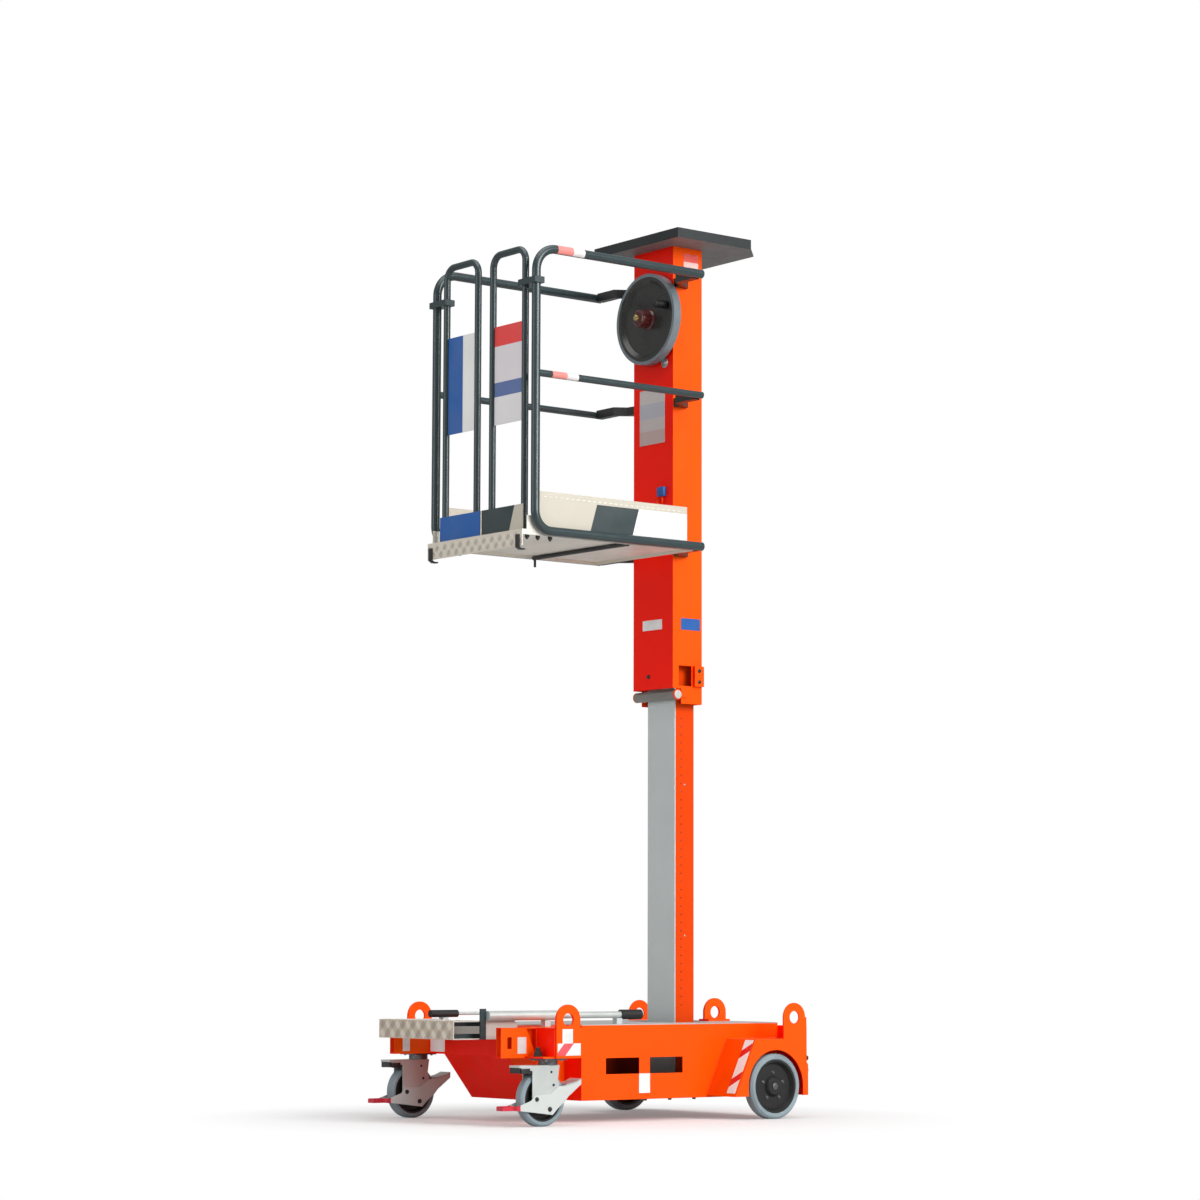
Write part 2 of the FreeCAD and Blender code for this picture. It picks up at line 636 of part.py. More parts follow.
def make_eyes():
    """Front lifting eyes on the castor brackets and one eye behind the mast."""
    low = s.bracket_half_width
    front = eye("front_eye_right", low, low + s.eye_thickness,
                s.front_eye_place, s.eye_hole_height, s.bracket_underside)
    centre = eye("centre_eye", -s.eye_thickness / 2, s.eye_thickness / 2,
                 s.rear_eye_place, s.centre_eye_hole_height, deck_top)
    foot = rectangle((-s.centre_eye_foot_half_width, s.centre_eye_foot_half_width),
                     (s.rear_eye_place - s.eye_radius, s.rear_eye_place + s.eye_radius))
    add(centre, "Pad", "XY", deck_top, deck_top + s.centre_eye_foot_height, [foot])
    keep("lifting_eyes", fuse("lifting_eyes", [front, mirrored("front_eye_left", front), centre]))


# Castor outlines in castor radii: along the machine from the swivel axis, up from the floor.
HOOD_FRONT = -1.53
CHEEK_FRONT = -0.93
CHEEK_REAR = 0.3
CHEEK = (
    (0.23, 1.68), (0.29, 1.57), (0.3, 1.2), (0.08, 0.75), (-0.25, 0.58), (-0.62, 0.6),
    (-0.93, 0.85),
)
LEVER = (
    (-1.0, 0.95), (-0.86, 1.13), (-0.62, 1.16), (-0.1, 1.2), (0.26, 1.45), (0.6, 1.47),
    (1.05, 1.56), (1.28, 1.67), (1.28, 1.5), (0.69, 1.07), (0.54, 0.9), (0.23, 0.67),
    (-0.03, 0.42), (-1.2, 0.56),
)
LEVER_PIVOT = (-0.75, 1.0)


def shares(place_y, radius, outline):
    """An outline in castor radii as pairs of sizes."""
    return [(place_y + radius * along, radius * up) for along, up in outline]


def make_castor():
    """Swivel castor: fixed top plate, fork with cheeks and axle, brake, hub and tyre."""
    x, y = s.bracket_half_width - s.castor_inset, s.castor_place_y
    plate_low = s.bracket_underside - s.castor_plate_thickness
    race_low = plate_low - s.castor_race_height
    half = s.castor_plate_half_width
    mount = new_body("castor_mount_right")
    add(mount, "Pad", "XY", plate_low, s.bracket_underside,
        [rectangle((x - half, x + half), (y - half, y + half))])
    add(mount, "Pad", "XY", race_low, plate_low, circles=[((x, y), s.castor_race_radius)])
    keep_pair("castor_mounts", mount)

    crown_top = race_low - s.seat_gap
    crown_low = crown_top - s.castor_crown_height
    cheek_inside = s.castor_width / 2 + s.castor_cheek_gap
    cheek_outside = cheek_inside + s.castor_cheek
    axle_y = y - s.castor_trail
    radius = s.castor_radius
    hood_front = y + radius * HOOD_FRONT
    fork = new_body("castor_fork_right")
    add(fork, "Pad", "XY", crown_low, crown_top,
        [rectangle((x - cheek_outside, x + cheek_outside), (hood_front, y + radius * CHEEK_REAR))])
    cheek = [(y + radius * CHEEK_FRONT, crown_top), (y + radius * CHEEK_REAR, crown_top)]
    cheek.extend(shares(y, radius, CHEEK))
    hood = [
        (hood_front, crown_top), (y + radius * CHEEK_FRONT, crown_top),
        (y + radius * CHEEK_FRONT, crown_top - s.brake_block_height), (hood_front, crown_low),
    ]
    pivot_y = y + radius * LEVER_PIVOT[0]
    pivot_z = radius * LEVER_PIVOT[1]
    lever_inside = cheek_outside + s.lever_gap
    lever_outside = lever_inside + s.pedal_arm
    for side in (-1, 1):
        near, far = cheek_inside * side, cheek_outside * side
        low, high = (x + near, x + far) if side > 0 else (x + far, x + near)
        add(fork, "Pad", "YZ", low, high, [cheek])
        add(fork, "Pad", "YZ", low, high, [hood])
        end = lever_outside * side
        low, high = (x + far, x + end) if side > 0 else (x + end, x + far)
        add(fork, "Pad", "YZ", low, high, circles=[((pivot_y, pivot_z), s.lever_pivot_radius)])
    add(fork, "Pad", "YZ", x - cheek_inside, x + cheek_inside,
        circles=[((axle_y, s.castor_radius), s.castor_pin_radius)])
    keep("castor_fork_right", fork)
    keep("castor_fork_left", mirrored("castor_fork_left", fork))

    # Brake lever: a plate on each side, the pedal in front and a release arm behind.
    tip = y - s.pedal_reach
    tread_rear = tip + s.pedal_length
    pedal_top = s.pedal_underside + s.pedal_thickness
    shoulder = tread_rear - s.pedal_arm * 2
    lever = new_body("castor_lever_right")
    plan = [
        (x - s.pedal_half_width, tip), (x + s.pedal_half_width, tip),
        (x + s.pedal_half_width, shoulder - s.pedal_half_width / 2), (x + lever_outside, shoulder),
        (x + lever_outside, tread_rear), (x - lever_outside, tread_rear),
        (x - lever_outside, shoulder), (x - s.pedal_half_width, shoulder - s.pedal_half_width / 2),
    ]
    add(lever, "Pad", "XY", s.pedal_underside, pedal_top, [plan])
    plate = [(tread_rear, s.pedal_underside), (tread_rear, pedal_top)]
    plate.extend(shares(y, radius, LEVER))
    bore = s.lever_pivot_radius + s.running_gap
    for low in (x - lever_outside, x + lever_inside):
        add(lever, "Pad", "YZ", low, low + s.pedal_arm, [plate],
            [((pivot_y, pivot_z), bore)])
    shoe = box("brake_shoe", (x - cheek_inside + s.seat_gap, x + cheek_inside - s.seat_gap),
               (hood_front + s.seat_gap, y + radius * CHEEK_FRONT),
               (crown_low - s.brake_block_height, crown_low))
    brake = fuse("castor_brake_right", [lever, shoe])
    keep("castor_brake_right", brake)
    keep("castor_brake_left", mirrored("castor_brake_left", brake))

    hub_radius = s.castor_radius - s.castor_tyre_depth
    half_wide = s.castor_width / 2
    bore = s.castor_pin_radius + s.running_gap
    hub_step = s.castor_hub_radius - s.castor_hub_edge
    half_disc = s.castor_disc / 2
    rim_side = half_wide - s.castor_rim_inset
    rim_inside = hub_radius - s.castor_rim
    web_top = rim_inside - s.castor_rim
    hub_profile = [
        (-half_wide, bore), (half_wide, bore), (half_wide, hub_step),
        (half_disc, s.castor_hub_radius), (half_disc, web_top), (rim_side, rim_inside),
        (rim_side, hub_radius - s.seat_gap), (-rim_side, hub_radius - s.seat_gap),
        (-rim_side, rim_inside), (-half_disc, web_top), (-half_disc, s.castor_hub_radius),
        (-half_wide, hub_step),
    ]
    edge = s.castor_tyre_edge
    tyre_profile = [
        (-rim_side, hub_radius), (rim_side, hub_radius),
        (half_wide, hub_radius + s.castor_rim_inset), (half_wide, s.castor_radius - edge),
        (half_wide - edge, s.castor_radius), (-half_wide + edge, s.castor_radius),
        (-half_wide, s.castor_radius - edge), (-half_wide, hub_radius + s.castor_rim_inset),
    ]
    for name, profile in (("castor_hub", hub_profile), ("castor_tyre", tyre_profile)):
        wheel = revolved(name + "_right", "XY", profile, "H_Axis")
        place(wheel, x, axle_y, s.castor_radius)
        keep(name + "_right", wheel)
        keep(name + "_left", mirrored(name + "_left", wheel))


def make_fixed_wheel():
    """Fixed wheel on its stub axle, inside the wheel housing."""
    middle = wheel_outer_face - s.wheel_width / 2
    half_wide = s.wheel_width / 2
    rim = s.wheel_radius - s.wheel_tyre_depth
    bore = s.axle_radius + s.running_gap
    half_disc = s.wheel_disc / 2
    hub_end = half_wide - s.hub_inset
    rim_side = half_wide - s.wheel_rim_inset
    rim_inside = rim - s.wheel_rim
    web_top = rim_inside - s.wheel_web_taper
    web_foot = s.hub_radius + s.hub_inset
    hub_profile = [
        (-half_wide, bore), (hub_end, bore), (hub_end, s.hub_radius - s.hub_edge),
        (hub_end - s.hub_edge, s.hub_radius), (half_disc, web_foot), (half_disc, web_top),
        (rim_side, rim_inside), (rim_side, rim - s.seat_gap), (-rim_side, rim - s.seat_gap),
        (-rim_side, rim_inside), (-half_disc, web_top), (-half_disc, web_foot),
        (-half_wide, s.hub_radius),
    ]
    edge = s.wheel_tyre_edge
    tyre_profile = [
        (-rim_side, rim), (rim_side, rim), (half_wide, rim + s.wheel_rim_inset),
        (half_wide, s.wheel_radius - edge), (half_wide - edge, s.wheel_radius),
        (-half_wide + edge, s.wheel_radius), (-half_wide, s.wheel_radius - edge),
        (-half_wide, rim + s.wheel_rim_inset),
    ]
    for name, profile in (("wheel_hub", hub_profile), ("wheel_tyre", tyre_profile)):
        wheel = revolved(name + "_right", "XY", profile, "H_Axis")
        place(wheel, middle, s.wheel_place_y, s.wheel_radius)
        keep(name + "_right", wheel)
        keep(name + "_left", mirrored(name + "_left", wheel))

    centre = (s.chassis_half_width, s.wheel_place_y, s.wheel_radius)
    length = wheel_outer_face - s.axle_inset - s.chassis_half_width
    axle = fuse("axle_right", [
        cylinder("axle_bar", "X", centre, length, s.axle_radius),
        cylinder("axle_flange", "X", centre, s.axle_flange, s.axle_flange_radius),
    ])
    keep_pair("stub_axles", axle)


def make_housing():
    """Wheel housing: slanted front, top, arched outer plate with a lifting eye."""
    body = new_body("wheel_housing_right")
    outside = wheel_outer_face
    inside = outside - s.housing_plate
    rear = s.chassis_rear
    outer = [
        (s.housing_front_foot, s.housing_foot), (rear, s.housing_foot),
        (rear, s.eye_hole_height), (s.rear_eye_place - s.eye_radius, s.eye_hole_height),
        (s.rear_eye_place - s.eye_radius, s.housing_top), (s.housing_front_top, s.housing_top),
    ]
    add(body, "Pad", "YZ", inside, outside, [outer])
    eye_centre = (s.rear_eye_place, s.eye_hole_height)
    add(body, "Pad", "YZ", inside, outside, circles=[(eye_centre, s.eye_radius)])
    add(body, "Pocket", "YZ", inside, outside, circles=[(eye_centre, s.eye_hole_radius)])
    slant = [
        (s.housing_front_foot, s.housing_foot),
        (s.housing_front_foot + s.housing_plate, s.housing_foot),
        (s.housing_front_top + s.housing_plate, s.housing_top - s.housing_plate),
        (rear - s.housing_plate, s.housing_top - s.housing_plate),
        (rear - s.housing_plate, s.housing_foot), (rear, s.housing_foot),
        (rear, s.housing_top), (s.housing_front_top, s.housing_top),
    ]
    add(body, "Pad", "YZ", s.chassis_half_width, inside, [slant])
    arch = s.wheel_radius + s.arch_clearance
    add(body, "Pocket", "YZ", inside, outside,
        arches=[((s.wheel_place_y, s.wheel_radius), arch, s.housing_foot - s.cut_margin)])
    keep_pair("wheel_housings", body)

    cross = new_body("rear_cross_plate")
    edge = wheel_outer_face
    narrow = edge - s.cross_plate_clip
    shoulder = s.cross_plate_shoulder
    face = [
        (-edge, s.housing_foot), (edge, s.housing_foot), (edge, shoulder),
        (narrow, shoulder + s.cross_plate_clip), (narrow, s.cross_plate_top),
        (-narrow, s.cross_plate_top), (-narrow, shoulder + s.cross_plate_clip),
        (-edge, shoulder),
    ]
    add(cross, "Pad", "XZ", s.chassis_rear, s.chassis_rear + s.cross_plate_thickness, [face])
    keep("rear_cross_plate", cross)


def make_struts():
    """Two struts that lie along the deck, each on two saddle blocks."""
    x, z = s.strut_half_pitch, s.strut_height
    front = s.step_front + s.step_depth
    right = fuse("strut_right", [
        cylinder("strut_tube", "Y", (x, front, z), s.strut_tube_rear - front,
                 s.strut_tube_radius),
        cylinder("strut_rod", "Y", (x, s.strut_tube_rear, z),
                 s.strut_sleeve_front - s.strut_tube_rear, s.strut_rod_radius),
    ])
    right_sleeve = cylinder("sleeve_right", "Y", (x, s.strut_sleeve_front, z),
                            s.strut_sleeve_length, s.strut_sleeve_radius)
    left_sleeve_rear = s.left_strut_front + s.left_sleeve_length
    left = cylinder("strut_left", "Y", (-x, left_sleeve_rear, z),
                    s.left_strut_rear - left_sleeve_rear, s.left_rod_radius)
    left_sleeve = cylinder("sleeve_left", "Y", (-x, s.left_strut_front, z),
                           s.left_sleeve_length, s.left_sleeve_radius)
    keep("deck_struts", fuse("deck_struts", [right, left]))
    keep("strut_sleeves", fuse("strut_sleeves", [right_sleeve, left_sleeve]))
    saddles = []
    half = s.saddle_width / 2
    # Place across, place along, radius carried and height of the saddle's foot.
    stands = (
        (x, s.bracket_rear - half, s.strut_tube_radius, s.bracket_top),
        (x, s.strut_sleeve_front - half, s.strut_rod_radius, deck_top),
        (-x, s.front_eye_place - s.eye_radius + half, s.left_sleeve_radius, s.bracket_top),
        (-x, s.left_strut_rear - half, s.left_rod_radius, deck_top),
    )
    for number, (across, along, radius, foot) in enumerate(stands):
        saddles.append(box("saddle_%d" % number, (across - half, across + half),
                           (along - half, along + half), (foot, z - radius - s.seat_gap)))
    keep("strut_saddles", fuse("strut_saddles", saddles))


def make_mast():
    """Fixed inner mast with its front strip, and the outer mast that slides on it."""
    low = s.chassis_underside + s.chassis_wall
    high = mast_foot + s.mast_overlap
    body = new_body("inner_mast")
    front = s.inner_front + s.strip_thickness
    wall = s.inner_wall
    half = s.inner_half_width
    add(body, "Pad", "XY", low, high, [
        rectangle((-half, half), (front, inner_rear)),
        rectangle((-half + wall, half - wall), (front + wall, inner_rear - wall)),
    ])
    keep("inner_mast", body)
    keep("inner_mast_strip", box("inner_mast_strip", (-half, half), (s.inner_front, front),
                                 (low, high)))

    outer = new_body("outer_mast")
    half = s.mast_half_width
    wall = s.mast_wall
    add(outer, "Pad", "XY", mast_foot, mast_top, [
        rectangle((-half, half), (s.mast_front, mast_rear)),
        rectangle((-half + wall, half - wall), (s.mast_front + wall, mast_rear - wall)),
    ])
    beyond = half + s.cut_margin
    mouth = rectangle((s.mast_front - s.cut_margin, s.inner_front),
                      (mast_foot - s.cut_margin, mast_foot + s.mouth_height))
    add(outer, "Pocket", "YZ", -beyond, beyond, [mouth])
    window = rectangle((s.window_front, s.window_rear),
                       (mast_foot + s.lug_bottom, mast_foot + s.lug_bottom + s.lug_height))
    add(outer, "Pocket", "YZ", -beyond, beyond, [window])
    keep("outer_mast", outer)

    roller_y = s.inner_front - s.pad_clearance - s.roller_radius
    roller_z = mast_foot + s.roller_height
    keep("mast_roller", cylinder("mast_roller", "X", (-half, roller_y, roller_z), half * 2,
                                 s.roller_radius))
    caps = []
    for side in (-1, 1):
        start = half if side > 0 else -half - s.roller_cap
        round_end = cylinder("roller_cap_%d" % (side + 1), "X", (start, roller_y, roller_z),
                             s.roller_cap, s.roller_radius)
        tab = box("roller_tab_%d" % (side + 1), (start, start + s.roller_cap),
                  (roller_y, s.inner_front + s.roller_tab_length),
                  (roller_z - s.roller_radius / 2, roller_z + s.roller_radius / 2))
        caps.extend([round_end, tab])
    lugs = []
    pads = []
    low_pad = mast_foot + s.pad_lift
    high_pad = mast_foot + s.mast_overlap - s.pad_height
    for side in (-1, 1):
        low = half if side > 0 else -half - s.lug_thickness
        lugs.append(box("lug_%d" % (side + 1), (low, low + s.lug_thickness),
                        (s.lug_front, mast_rear),
                        (mast_foot + s.lug_bottom, mast_foot + s.lug_bottom + s.lug_height)))
        inside = s.inner_half_width + s.pad_clearance
        pad_low = inside if side > 0 else -half + wall
        width = half - wall - inside
        for level, height in enumerate((low_pad, high_pad)):
            pads.append(box("pad_%d_%d" % (side + 1, level), (pad_low, pad_low + width),
                            (s.inner_front + s.pad_inset, inner_rear - s.pad_inset),
                            (height, height + s.pad_height)))
    across = (-s.pad_half_width, s.pad_half_width)
    behind = (inner_rear + s.pad_clearance, mast_rear - wall)
    ahead = (s.mast_front + wall, s.inner_front - s.pad_clearance)
    pads.append(box("pad_rear_low", across, behind, (low_pad, low_pad + s.pad_height)))
    pads.append(box("pad_rear_high", across, behind, (high_pad, high_pad + s.pad_height)))
    pads.append(box("pad_front_high", across, ahead, (high_pad, high_pad + s.pad_height)))
    keep("mast_side_fittings", fuse("mast_side_fittings", caps + lugs))
    keep("guide_pads", fuse("guide_pads", pads))


def make_tray():
    """Sheet tray on the mast's top, open at the rear, with clipped rear corners."""
    side = s.tray_half_width
    front = s.tray_front
    rear = front + s.tray_length
    clip = s.tray_clip
    sheet_wall = s.tray_sheet
    tray = new_body("tool_tray")
    add(tray, "Pad", "XY", mast_top, mast_top + s.tray_rim, [[
        (-side, front), (side, front), (side, rear - clip),
        (side - clip, rear), (-side + clip, rear), (-side, rear - clip),
    ]])
    hollow = [
        (-side + sheet_wall, front + sheet_wall), (side - sheet_wall, front + sheet_wall),
        (side - sheet_wall, rear - clip), (side + s.cut_margin, rear - clip),
        (side + s.cut_margin, rear + s.cut_margin), (-side - s.cut_margin, rear + s.cut_margin),
        (-side - s.cut_margin, rear - clip), (-side + sheet_wall, rear - clip),
    ]
    add(tray, "Pocket", "XY", mast_top + sheet_wall, mast_top + s.tray_rim, [hollow])
    keep("tool_tray", tray)


def tube_path(sketch, points, radii):
    """Straight runs through points, with a bend of each radius at the inner corners."""
    values = [FreeCAD.Vector(as_size(u).value, as_size(v).value, 0) for u, v in points]
    ends = [values[0]]
    bends = []
    for index, radius in enumerate(radii, start=1):
        corner = values[index]
        before = (values[index - 1] - corner).normalize()
        after = (values[index + 1] - corner).normalize()
        reach = as_size(radius).value
        bends.append((corner + before * reach, corner + after * reach,
                      corner + (before + after) * reach))
        ends.extend(bends[-1][:2])
    ends.append(values[-1])
    runs = [sketch.addGeometry(Part.LineSegment(ends[index], ends[index + 1]), False)
            for index in range(0, len(ends), 2)]
    axes = []
    for start, end in zip(points[:-1], points[1:]):
        upright = abs(as_size(start[0]).value - as_size(end[0]).value) < 0.001
        axes.append("Vertical" if upright else "Horizontal")
    for run, axis in zip(runs, axes):
        sketch.addConstraint(Sketcher.Constraint(axis, run))
    for index, (first, last, centre) in enumerate(bends):
        radius = as_size(radii[index])
        middle = centre + (values[index + 1] - centre).normalize() * radius.value
        arc = sketch.addGeometry(Part.Arc(first, middle, last), False)
        start = sketch.getPoint(arc, 1)
        near, far = (1, 2) if start.distanceToPoint(first) < 0.001 else (2, 1)
        sketch.addConstraint(Sketcher.Constraint("Tangent", runs[index], 2, arc, near))
        sketch.addConstraint(Sketcher.Constraint("Tangent", arc, far, runs[index + 1], 1))
        number = sketch.addConstraint(Sketcher.Constraint("Radius", arc, radius.value))
        bind(sketch, "Constraints[%d]" % number, radius)
    fix_point(sketch, runs[0], 1, points[0])
    fix_point(sketch, runs[-1], 2, points[-1])
    for index in range(1, len(runs) - 1):
        along = "DistanceY" if axes[index] == "Horizontal" else "DistanceX"
        size = as_size(points[index][1] if axes[index] == "Horizontal" else points[index][0])
        number = sketch.addConstraint(Sketcher.Constraint(along, -1, 1, runs[index], 1, size.value))
        bind(sketch, "Constraints[%d]" % number, size)


def bent_tube(name, plane, offset, points, radii, start_plane, start_offset, start_centre, radius):
    """A body with a round bar along a bent path that lies in a plane."""
    body = new_body(name)
    path = new_sketch(body, plane, offset)
    tube_path(path, points, radii)
    section = new_sketch(body, start_plane, start_offset)
    draw_circle(section, start_centre, radius)
    pipe = body.newObject("PartDesign::AdditivePipe", name + "_pipe")
    pipe.Profile = section
    pipe.Spine = (path, ["Edge%d" % (index + 1) for index in range(len(path.Shape.Edges))])
    document.recompute()
    return body


def make_rails():
    """Guard rails: one bent tube a side with a middle rail, and brackets to the mast."""
    x = s.rail_half_width
    top = floor_top + s.top_rail_rise
    middle = floor_top + s.mid_rail_rise
    low = floor_top - s.low_rail_drop
    path = [(s.rail_rear, top), (s.post_place, top), (s.post_place, low), (s.rail_rear, low)]
    loop = bent_tube("guard_loop_right", "YZ", x, path, [s.upper_bend_radius, s.lower_bend_radius],
                     "XZ", -s.rail_rear, (x, top), s.rail_radius)
    bar = cylinder("guard_bar_right", "Y", (x, s.post_place, middle),
                   s.rail_rear - s.post_place, s.mid_rail_radius)
    rail = fuse("guard_rail_right", [loop, bar])
    keep("guard_rail_right", rail)
    keep("guard_rail_left", mirrored("guard_rail_left", rail))

    side = s.mast_half_width
    arm_front = s.rail_rear - s.rail_bracket_depth
    plate = s.rail_bracket_plate
    foot_front = s.mast_front + s.mast_wall
    half = s.rail_bracket_height / 2
    arms = []
    levels = ((top, s.rail_radius), (middle, s.mid_rail_radius), (low, s.rail_radius))
    for number, (height, radius) in enumerate(levels):
        inside = x - radius - s.seat_gap
        elbow = side + plate + s.rail_bracket_depth
        plan = [
            (side, foot_front), (side, foot_front + s.rail_bracket_foot),
            (side + plate, foot_front + s.rail_bracket_foot),
            (elbow + s.rail_bracket_depth, s.rail_rear), (inside, s.rail_rear),
            (inside, arm_front), (elbow + s.rail_bracket_depth, arm_front),
            (elbow, s.mast_front),
        ]
        arm = new_body("rail_arm_%d" % number)
        add(arm, "Pad", "XY", height - half, height + half, [plan])
        arms.append(arm)
    brackets = fuse("rail_brackets_right", arms)
    keep_pair("rail_brackets", brackets)


def make_floor():
    """Platform floor with its front lip, toe boards and the rod underneath."""
    half = s.floor_half_width
    rear = s.rail_rear - s.rail_bracket_depth - s.seat_gap
    floor = new_body("platform_floor")
    profile = [
        (s.floor_front, floor_top - s.lip_height), (s.floor_front + s.lip_thickness,
                                                    floor_top - s.lip_height),
        (s.floor_front + s.lip_thickness, floor_under), (rear, floor_under),
        (rear, floor_top), (s.floor_front, floor_top),
    ]
    add(floor, "Pad", "YZ", -half, half, [profile])
    flange_inside = half - s.lip_thickness
    flange = [
        (-half, s.floor_front), (-flange_inside, s.floor_front),
        (-flange_inside, rear - s.lip_thickness), (flange_inside, rear - s.lip_thickness),
        (flange_inside, s.floor_front), (half, s.floor_front), (half, rear), (-half, rear),
    ]
    add(floor, "Pad", "XY", floor_under - s.floor_flange, floor_under, [flange])
    corner_rear = s.floor_corner_front + s.floor_corner_length
    corner = [
        (s.floor_corner_front, floor_under), (corner_rear, floor_under), (corner_rear, floor_top),
        (corner_rear - s.floor_corner_rise, floor_top + s.floor_corner_rise),
        (s.floor_corner_front, floor_top + s.floor_corner_rise),
    ]
    for low in (-half, flange_inside):
        add(floor, "Pad", "YZ", low, low + s.lip_thickness, [corner])
    keep("platform_floor", floor)

    outside = s.toe_board_inset
    board = new_body("toe_board_right")
    plan = [
        (outside - s.toe_board_return, s.toe_board_front), (outside, s.toe_board_front),
        (outside, s.toe_board_rear), (outside - s.toe_board, s.toe_board_rear),
        (outside - s.toe_board, s.toe_board_front + s.toe_board),
        (outside - s.toe_board_return, s.toe_board_front + s.toe_board),
    ]
    add(board, "Pad", "XY", floor_top, floor_top + s.toe_board_height, [plan])
    keep_pair("toe_boards", board)

    rod_z = floor_under - s.seat_gap - s.rod_radius
    rod_end = flange_inside - s.seat_gap
    rod = cylinder("rod_bar", "X", (-rod_end, s.rod_place, rod_z), rod_end * 2, s.rod_radius)
    pin_low = floor_under - s.rod_pin_drop
    pin = cylinder("rod_pin", "Z", (-rod_end + s.rod_radius, s.rod_place, pin_low),
                   s.rod_pin_drop - s.seat_gap, s.rod_pin_radius)
    keep("under_floor_rod", fuse("under_floor_rod", [rod, pin]))


def make_gates():
    """Two saloon gates with tube frames, panels, kick plates and their hinges."""
    hinge, free, y = s.gate_hinge_place, s.gate_free_place, s.post_place
    foot = floor_top + s.gate_foot_rise
    top = floor_top + s.gate_top_rise
    path = [(hinge, foot), (hinge, top), (free, top), (free, foot)]
    frame = bent_tube("gate_frame_right", "XZ", -y, path, [s.gate_bend, s.gate_bend],
                      "XY", foot, (hinge, y), s.gate_tube_radius)
    keep("gate_frame_right", frame)
    keep("gate_frame_left", mirrored("gate_frame_left", frame))

    edge = s.gate_tube_radius + s.seat_gap
    bottom = floor_top + s.panel_bottom_rise
    panel = box("gate_panel_right", (free + edge, hinge - edge),
                (y - s.panel_thickness / 2, y + s.panel_thickness / 2),
                (bottom, bottom + s.panel_height))
    kick_rear = y - s.gate_tube_radius - s.seat_gap
    kick = box("gate_kick_right", (s.gate_gap, hinge + s.kick_overlap),
               (kick_rear - s.kick_plate, kick_rear),
               (floor_top + s.gate_gap, floor_top + s.gate_gap + s.kick_height))
    panels = fuse("gate_panels_right", [panel, kick])
    keep("gate_panels_right", panels)
    keep("gate_panels_left", mirrored("gate_panels_left", panels))

    low = floor_top + s.hinge_rise
    outside = s.rail_half_width + s.rail_radius + s.hinge_wall
    block = new_body("gate_hinge_block")
    reach = hinge - s.gate_tube_radius - s.hinge_wall
    add(block, "Pad", "XY", low, low + s.hinge_height,
        [rectangle((reach, outside), (y - s.hinge_half_depth, y + s.hinge_half_depth))],
        [((hinge, y), s.gate_tube_radius + s.hinge_clearance),
         ((s.rail_half_width, y), s.rail_radius + s.seat_gap)])
    foot_block = cylinder("gate_foot", "Z", (hinge, y, floor_top),
                          s.gate_foot_rise - s.hinge_clearance, s.gate_tube_radius)
    hinges = fuse("gate_hinges_right", [block, foot_block])
    keep_pair("gate_hinges", hinges)


def make_hand_wheel():
    """Dished hand wheel with its knob, and the bearing on the mast behind it."""
    height = floor_top + s.hand_wheel_rise
    rear = s.mast_front - s.hand_wheel_gap
    rim_front = rear - s.hand_wheel_rim
    sheet_wall = s.hand_wheel_sheet
    radius = s.hand_wheel_radius
    web = rear - s.hand_wheel_web
    flat = radius - s.hand_wheel_flat
    # Half section, as (distance from the axis, place along the machine).
    profile = [
        (0, s.hand_wheel_hub_front), (s.hand_wheel_hub, s.hand_wheel_hub_front),
        (s.hand_wheel_hub, web), (flat - s.hand_wheel_dish, web), (flat, rim_front),
        (radius, rim_front), (radius, rear), (radius - sheet_wall, rear),
        (radius - sheet_wall, rim_front + sheet_wall), (flat, rim_front + sheet_wall),
        (flat - s.hand_wheel_dish, web + sheet_wall), (s.hand_wheel_boss, web + sheet_wall),
        (s.hand_wheel_boss, rear), (0, rear),
    ]
    wheel = revolved("hand_wheel", "XY", profile, "V_Axis")
    place(wheel, 0, 0, height)
    keep("hand_wheel", wheel)
    knob_x = s.knob_place
    knob_z = height + s.knob_rise
    knob_front = web - s.seat_gap - s.knob_length
    keep("hand_wheel_knob", cylinder("hand_wheel_knob", "Y", (knob_x, knob_front, knob_z),
                                     s.knob_length, s.knob_radius))
    keep("hand_wheel_bearing", cylinder("hand_wheel_bearing", "Y",
                                        (as_size(0), rear + s.seat_gap, height),
                                        s.hand_wheel_gap - s.seat_gap, s.hand_wheel_hub))


make_chassis()
make_step()
make_bracket()
make_eyes()
make_castor()
make_fixed_wheel()
make_housing()
make_struts()
make_mast()
make_tray()
make_rails()
make_floor()
make_gates()
make_hand_wheel()
document.recompute()

faults = [item.Name for item in document.Objects
          if "Invalid" in item.State or "Error" in item.State]
for name, item in nodes.items():
    if item.Shape.isNull() or not item.Shape.isValid():
        faults.append(name)
if faults:
    raise RuntimeError("failed objects: " + ", ".join(faults))

os.makedirs("parts", exist_ok=True)
for name, item in nodes.items():
    item.Shape.exportStep(os.path.join("parts", name + ".step"))
